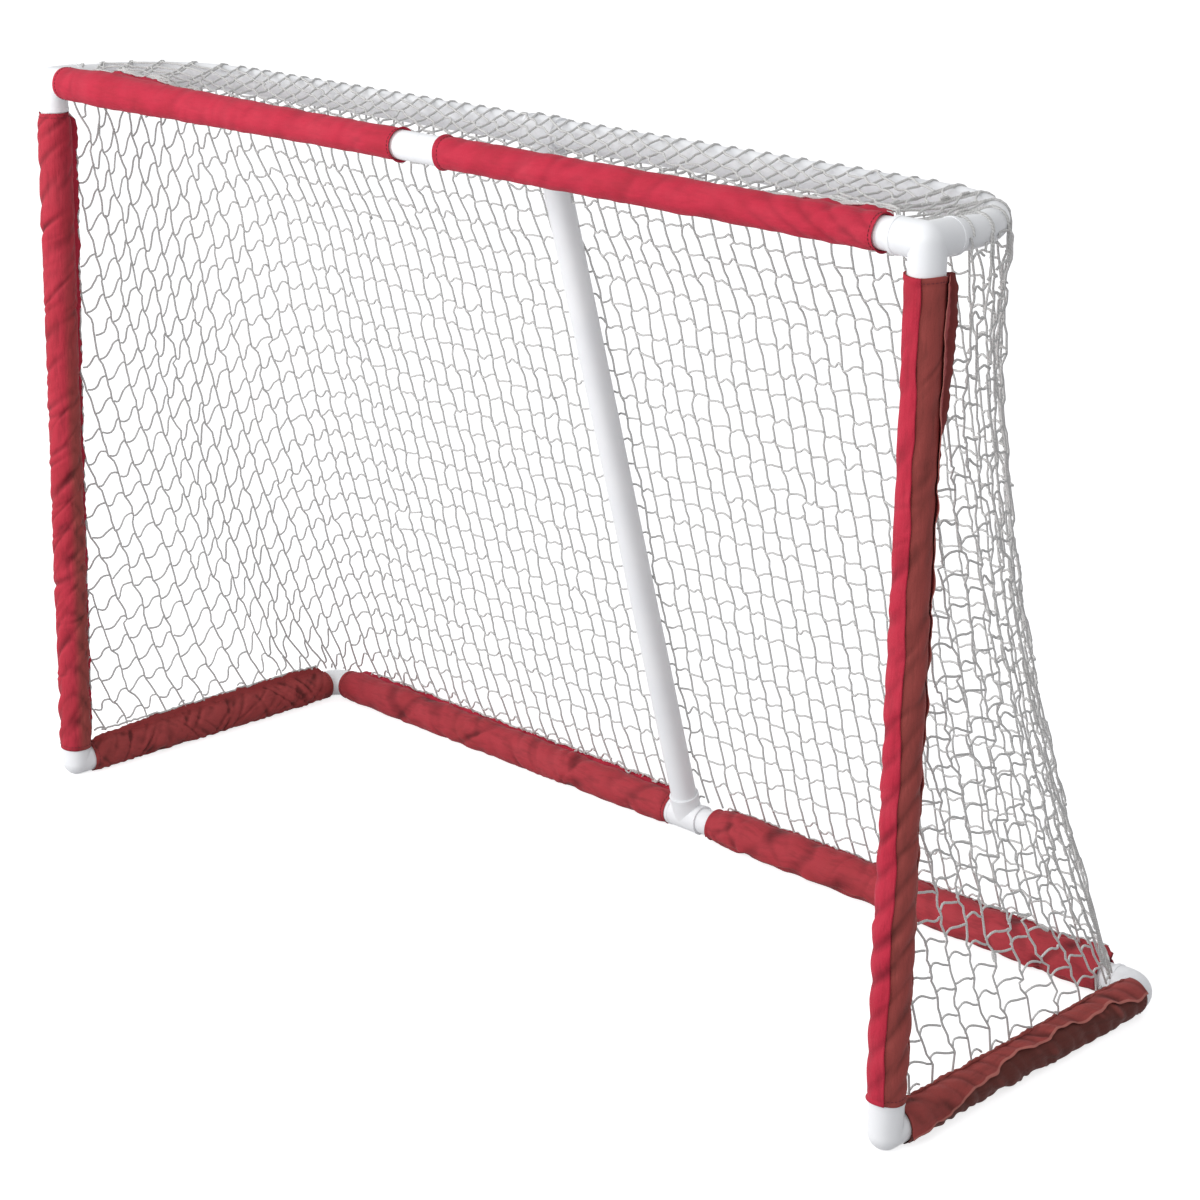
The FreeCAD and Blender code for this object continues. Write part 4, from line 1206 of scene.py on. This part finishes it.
def make_sleeve(wrap, settings):
    cloth = made(bpy.data.materials, "red_nylon", fabric_material, settings.colour, settings.thread)
    sewing = made(bpy.data.materials, "sewing_thread", thread_material, settings.sewing)
    grid, marks, seams = sleeve_grid(wrap)
    piece, area = cloth_object(wrap, grid, marks, cloth)
    ready(piece, "red_sleeve", wrap.node)
    tree = made(bpy.data.node_groups, "Stitches", stitch_tree)
    stitches = grown(wrap.node + "_stitches", seams, tree, {
        "Spacing": settings.stitch_spacing, "Length": settings.stitch_spacing * STITCH_SHARE,
        "Radius": STITCH_R, "Material": sewing})
    ready(stitches, "red_sleeve")


def post_wrap(hand):
    """The wrap of a post's sleeve, from the bottom up."""
    node = HANDS[hand] + "_post_sleeve"
    rims = (RAIL_Z + ARM - low(node, "z"), high(node, "z") - BAR_Z + ARM)
    return Wrap(node, (hand * POST_X, FRONT_Y, low(node, "z")), (0, 0, 1), (0, 1, 0),
                high(node, "z") - low(node, "z"), rims=rims)


def rail_wrap(hand):
    """The wrap of a side rail's sleeve, from the front back."""
    node = HANDS[hand] + "_side_rail_sleeve"
    return Wrap(node, (hand * POST_X, low(node, "y"), RAIL_Z), (0, 1, 0), (0, 0, 1),
                high(node, "y") - low(node, "y"))


def level_wrap(node, y, z, pull):
    """The wrap of a sleeve that lies along X, from the left."""
    return Wrap(node, (low(node, "x"), y, z), (1, 0, 0), pull, high(node, "x") - low(node, "x"))


def crossbar_wrap(hand):
    """The wrap of a crossbar sleeve: its flap points up and back to the top net."""
    return level_wrap(HANDS[hand] + "_crossbar_sleeve", FRONT_Y, BAR_Z, (0, BAR_AIM, STANDOFF))


def back_rail_wrap(hand):
    """The wrap of a back rail's sleeve: its flap is aimed at the back net."""
    out = Vector((0.0, LEAN.z, -LEAN.y))
    pull = out * STANDOFF + LEAN * math.sqrt(SEAM_REACH ** 2 - STANDOFF ** 2)
    return level_wrap(HANDS[hand] + "_back_rail_sleeve", BACK_Y, RAIL_Z, pull)


def post_tips(hand):
    """Heights along a post's sleeve and where its flap's edge is, for the net that it holds."""
    line = post_wrap(hand).tip_line()
    return line[:, 2], line[:, 1] - 0.001


POST_TIPS = {hand: post_tips(hand) for hand in HANDS}
BAR_TIPS = np.concatenate([crossbar_wrap(hand).tip_line() for hand in HANDS])


# Settings.
class GoalTwine(bpy.types.PropertyGroup):
    """Sizes and colour of the net."""

    radius: bpy.props.FloatProperty(
        name="Twine radius", description="Half the twine's thickness", default=0.0017, unit="LENGTH")
    sides: bpy.props.IntProperty(
        name="Twine sides", description="Flats round the twine", default=6)
    cell_height: bpy.props.FloatProperty(
        name="Cell height", description="From joint to joint along a main strand", default=0.0396,
        unit="LENGTH")
    back_spacing: bpy.props.FloatProperty(
        name="Back spacing", description="Between main strands on the back", default=0.0315, unit="LENGTH")
    corner_spacing: bpy.props.FloatProperty(
        name="Corner spacing", description="Between main strands into the corners", default=0.0287,
        unit="LENGTH")
    turn_spacing: bpy.props.FloatProperty(
        name="Turn spacing", description="Between main strands round the corners", default=0.036,
        unit="LENGTH")
    side_spacing: bpy.props.FloatProperty(
        name="Side spacing", description="Between main strands that start at a post", default=0.0415,
        unit="LENGTH")
    joint: bpy.props.FloatProperty(
        name="Joint length", description="How far two strands run twisted together", default=0.0065,
        unit="LENGTH")
    slack: bpy.props.FloatProperty(
        name="Slack", description="How far the cross strands bow", default=0.0026, unit="LENGTH")
    lay: bpy.props.FloatProperty(
        name="Lay", description="Length of one turn of the twine's strands", default=0.009, unit="LENGTH")
    seed: bpy.props.IntProperty(name="Seed", description="Which random net", default=4)
    colour: bpy.props.FloatVectorProperty(
        name="Colour", description="The twine's colour", default=(0.68, 0.675, 0.66), subtype="COLOR")


class GoalCloth(bpy.types.PropertyGroup):
    """Colour and weave of the sleeves."""

    colour: bpy.props.FloatVectorProperty(
        name="Colour", description="The nylon's colour", default=(0.50, 0.027, 0.056), subtype="COLOR")
    thread: bpy.props.FloatProperty(
        name="Thread", description="Width of one thread of the weave", default=0.0007, unit="LENGTH")
    sewing: bpy.props.FloatVectorProperty(
        name="Sewing thread", description="Colour of the seams' thread", default=(0.16, 0.02, 0.03),
        subtype="COLOR")
    stitch_spacing: bpy.props.FloatProperty(
        name="Stitch spacing", description="From stitch to stitch along a seam", default=0.0055,
        unit="LENGTH")


class GoalPlastic(bpy.types.PropertyGroup):
    """Colour of the tubes and fittings."""

    colour: bpy.props.FloatVectorProperty(
        name="Colour", description="The plastic's colour", default=(0.90, 0.905, 0.915), subtype="COLOR")


class GoalStage(bpy.types.PropertyGroup):
    """Floor, lights and camera."""

    floor: bpy.props.FloatProperty(
        name="Floor", description="Width of the floor", default=60.0, unit="LENGTH")
    key: bpy.props.FloatProperty(name="Key light", description="Power of the main lamp", default=43.0)
    fill: bpy.props.FloatProperty(name="Fill", description="Strength of the light all round", default=0.70)
    lens: bpy.props.FloatProperty(
        name="Lens", description="Focal length", default=83.55, unit="CAMERA")


# Operators.
PLASTIC_WORDS = ("_tube", "fitting", "elbow", "tee", "coupler")
PLASTIC_COUNT = 20


class GOAL_OT_plastic(bpy.types.Operator):
    """Gives the tubes and fittings their moulded plastic"""

    bl_idname = "goal.plastic"
    bl_label = "Plastic Frame"

    def execute(self, context):
        colour = context.scene.goal_plastic.colour
        material = made(bpy.data.materials, "white_moulded_plastic", plastic_material, colour)
        pieces = [node for name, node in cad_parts.items()
                  if any(word in name for word in PLASTIC_WORDS)]
        if len(pieces) != PLASTIC_COUNT:
            raise RuntimeError("found %d plastic pieces" % len(pieces))
        for node in pieces:
            node.material_slots[0].material = material
        return {"FINISHED"}


class GOAL_OT_crossbar_sleeves(bpy.types.Operator):
    """Wraps the two crossbar sleeves"""

    bl_idname = "goal.crossbar_sleeves"
    bl_label = "Crossbar Sleeves"

    def execute(self, context):
        settings = context.scene.goal_cloth
        make_sleeve(crossbar_wrap(-1), settings)
        make_sleeve(crossbar_wrap(1), settings)
        return {"FINISHED"}


class GOAL_OT_post_sleeves(bpy.types.Operator):
    """Wraps the two post sleeves"""

    bl_idname = "goal.post_sleeves"
    bl_label = "Post Sleeves"

    def execute(self, context):
        for hand, side in HANDS.items():
            make_sleeve(post_wrap(hand), context.scene.goal_cloth)
        return {"FINISHED"}


class GOAL_OT_rail_sleeves(bpy.types.Operator):
    """Wraps the four sleeves of the base rails"""

    bl_idname = "goal.rail_sleeves"
    bl_label = "Base Rail Sleeves"

    def execute(self, context):
        settings = context.scene.goal_cloth
        for hand, side in HANDS.items():
            make_sleeve(rail_wrap(hand), settings)
            make_sleeve(back_rail_wrap(hand), settings)
        return {"FINISHED"}


# The net's pieces and the nodes that each stands for.
NET_ZONES = {
    "left": ("left_side_net", "left_corner_net"),
    "right": ("right_side_net", "right_corner_net"),
    "back_left": ("back_net",),
    "back_right": ("back_net",),
    "top": ("top_net",),
}


class GOAL_OT_net(bpy.types.Operator):
    """Knots the net round the back, over the top tubes and forward to the crossbar"""

    bl_idname = "goal.net"
    bl_label = "Net"

    def execute(self, context):
        settings = context.scene.goal_twine
        white = made(bpy.data.materials, "white_twine", twine_material, settings.colour, settings.lay)
        tree = made(bpy.data.node_groups, "Twine", twine_tree)
        plan = NetPlan(settings)
        pairs = pairs_of(plan)
        lines = {zone: [] for zone in NET_ZONES}
        for i, way in enumerate(plan.ways):
            points, cap = main_line(plan, i, pairs.get(i))
            if points is not None:
                lines[zone_of(way)].append(points)
            if cap is not None:
                lines["top"].append(cap)
        for zone in ("left", "right", "back_left", "back_right"):
            lines[zone] += cross_lines(plan, zone)
        lines["top"] += top_lines(plan, pairs) + top_edges(plan)
        for hand, name in HANDS.items():
            lines[name] += side_edges(plan, hand)
            lines["back_" + name] += back_edges(plan, hand)
        for number, (zone, nodes) in enumerate(NET_ZONES.items()):
            piece = grown("%s_twine" % zone, lines[zone], tree, {
                "Radius": settings.radius, "Sides": settings.sides, "Waver": 0.00035,
                "Seed": settings.seed + number, "Material": white})
            ready(piece, "net_twine", *nodes)
        return {"FINISHED"}


class GOAL_OT_stage(bpy.types.Operator):
    """Sets the floor, the lights and the camera"""

    bl_idname = "goal.stage"
    bl_label = "Stage"

    def execute(self, context):
        scene = context.scene
        settings = scene.goal_stage
        half = settings.floor / 2
        mesh = bpy.data.meshes.new("floor")
        corners = [(-half, -half, 0), (half, -half, 0), (half, half, 0), (-half, half, 0)]
        mesh.from_pydata(corners, [], [(0, 1, 2, 3)])
        mesh.materials.append(floor_material())
        add_object("floor", mesh)
        world = scene.world or bpy.data.worlds.new("World")
        scene.world = world
        world_light(world, settings.fill)
        for name, place, aim, size, power in (
            ("key_lamp", (-1.2, -2.7, 1.55), (0.0, -0.2, 0.7), 1.3, settings.key),
            ("side_lamp", (1.3, -2.7, 1.95), (0.8, -0.3, 1.0), 1.2, settings.key * 0.44),
        ):
            lamp = bpy.data.lights.new(name, "AREA")
            lamp.size = size
            lamp.energy = power
            holder = add_object(name, lamp)
            holder.location = place
            holder.rotation_euler = (Vector(aim) - Vector(place)).to_track_quat("-Z", "Y").to_euler()
        scene.camera = make_camera(settings.lens)
        scene.view_settings.view_transform = "Standard"
        return {"FINISHED"}


def ray_mix(tree, shown, lighting):
    """Mixes two shaders: one that the camera and reflections see, and one that lights the object."""
    path = add_node(tree, "ShaderNodeLightPath").outputs
    seen = path["Is Camera Ray"]
    for name in ("Is Glossy Ray", "Is Transmission Ray"):
        seen = worked_out(tree, "MAXIMUM", seen, path[name])
    return add_node(tree, "ShaderNodeMixShader", {"Fac": seen, 1: lighting, 2: shown}).outputs["Shader"]


def floor_material():
    """Plain pale floor: white to the camera with soft shadows, duller as a source of light."""
    material, tree, shader = new_material("pale_floor")
    tree.nodes.remove(shader)
    pale = add_node(tree, "ShaderNodeBsdfDiffuse", {"Color": (0.62, 0.62, 0.63, 1.0)})
    glow = add_node(tree, "ShaderNodeEmission", {"Strength": 0.74})
    both = add_node(tree, "ShaderNodeAddShader", {0: pale.outputs["BSDF"], 1: glow.outputs["Emission"]})
    dull = add_node(tree, "ShaderNodeBsdfDiffuse", {"Color": (0.48, 0.48, 0.49, 1.0)})
    surface_of = ray_mix(tree, both.outputs["Shader"], dull.outputs["BSDF"])
    feed(tree, tree.nodes["Material Output"], {"Surface": surface_of})
    return material


def world_light(world, fill):
    """White to the camera, and to all else a soft light, a little stronger from the front left."""
    world.use_nodes = True
    tree = world.node_tree
    tree.nodes.clear()
    way = add_node(tree, "ShaderNodeTexCoord").outputs["Generated"]
    toward = add_node(tree, "ShaderNodeVectorMath", {0: way, 1: (-0.62, -0.74, 0.12)},
                      operation="DOT_PRODUCT")
    strength = worked_out(tree, "MULTIPLY_ADD", toward.outputs["Value"], fill * 0.40, fill * 0.97)
    light = add_node(tree, "ShaderNodeBackground", {"Color": (0.97, 0.98, 1.0, 1.0), "Strength": strength})
    shown = add_node(tree, "ShaderNodeBackground", {"Color": (1.0, 1.0, 1.0, 1.0)})
    sky = ray_mix(tree, shown.outputs["Background"], light.outputs["Background"])
    add_node(tree, "ShaderNodeOutputWorld", {"Surface": sky})


# Where the photograph was taken from: place, then turn about Z, tilt and roll in degrees.
CAMERA_PLACE = (2.877, -2.896, 1.816)
CAMERA_TURN = (-44.15, -15.24, 0.98)


def make_camera(lens):
    """The camera at the photograph's viewing angle."""
    data = bpy.data.cameras.new("camera")
    data.lens = lens
    data.sensor_width = 36.0
    data.shift_y = -0.125
    data.clip_end = 200.0
    camera = add_object("camera", data)
    yaw, pitch, roll = (math.radians(angle) for angle in CAMERA_TURN)
    forward = Vector((math.sin(yaw) * math.cos(pitch), math.cos(yaw) * math.cos(pitch), math.sin(pitch)))
    right = forward.cross(Vector((0, 0, 1))).normalized()
    up = right.cross(forward)
    right, up = (math.cos(roll) * right + math.sin(roll) * up, -math.sin(roll) * right + math.cos(roll) * up)
    turn = Matrix((right, up, -forward)).transposed().to_4x4()
    camera.matrix_world = Matrix.Translation(CAMERA_PLACE) @ turn
    return camera


class GOAL_PT_panel(bpy.types.Panel):
    """Lists the steps that build the goal's looks"""

    bl_idname = "GOAL_PT_panel"
    bl_label = "Hockey Goal"
    bl_space_type = "VIEW_3D"
    bl_region_type = "UI"
    bl_category = "Hockey Goal"

    def draw(self, context):
        for step, group in STEPS_IN_ORDER.items():
            box = self.layout.box()
            if group:
                settings = getattr(context.scene, group)
                for name in settings.bl_rna.properties.keys():
                    if name not in ("rna_type", "name"):
                        box.prop(settings, name)
            box.operator(step.bl_idname)


# Each step and the settings that the panel shows over it.
STEPS_IN_ORDER = {
    GOAL_OT_plastic: "goal_plastic",
    GOAL_OT_crossbar_sleeves: "goal_cloth",
    GOAL_OT_post_sleeves: None,
    GOAL_OT_rail_sleeves: None,
    GOAL_OT_net: "goal_twine",
    GOAL_OT_stage: "goal_stage",
}
GROUPS = {
    "goal_twine": GoalTwine,
    "goal_cloth": GoalCloth,
    "goal_plastic": GoalPlastic,
    "goal_stage": GoalStage,
}


def register():
    """Registers the settings, steps and panel."""
    for kind in (*GROUPS.values(), *STEPS_IN_ORDER, GOAL_PT_panel):
        bpy.utils.register_class(kind)
    for name, group in GROUPS.items():
        setattr(bpy.types.Scene, name, bpy.props.PointerProperty(type=group))


def unregister():
    """Takes the settings, steps and panel out again."""
    for name in GROUPS:
        delattr(bpy.types.Scene, name)
    for kind in (GOAL_PT_panel, *reversed(STEPS_IN_ORDER), *GROUPS.values()):
        bpy.utils.unregister_class(kind)


def main():
    """Runs every step in order."""
    register()
    for step in STEPS_IN_ORDER:
        area, name = step.bl_idname.split(".")
        getattr(getattr(bpy.ops, area), name)()


if __name__ == "__main__":
    main()
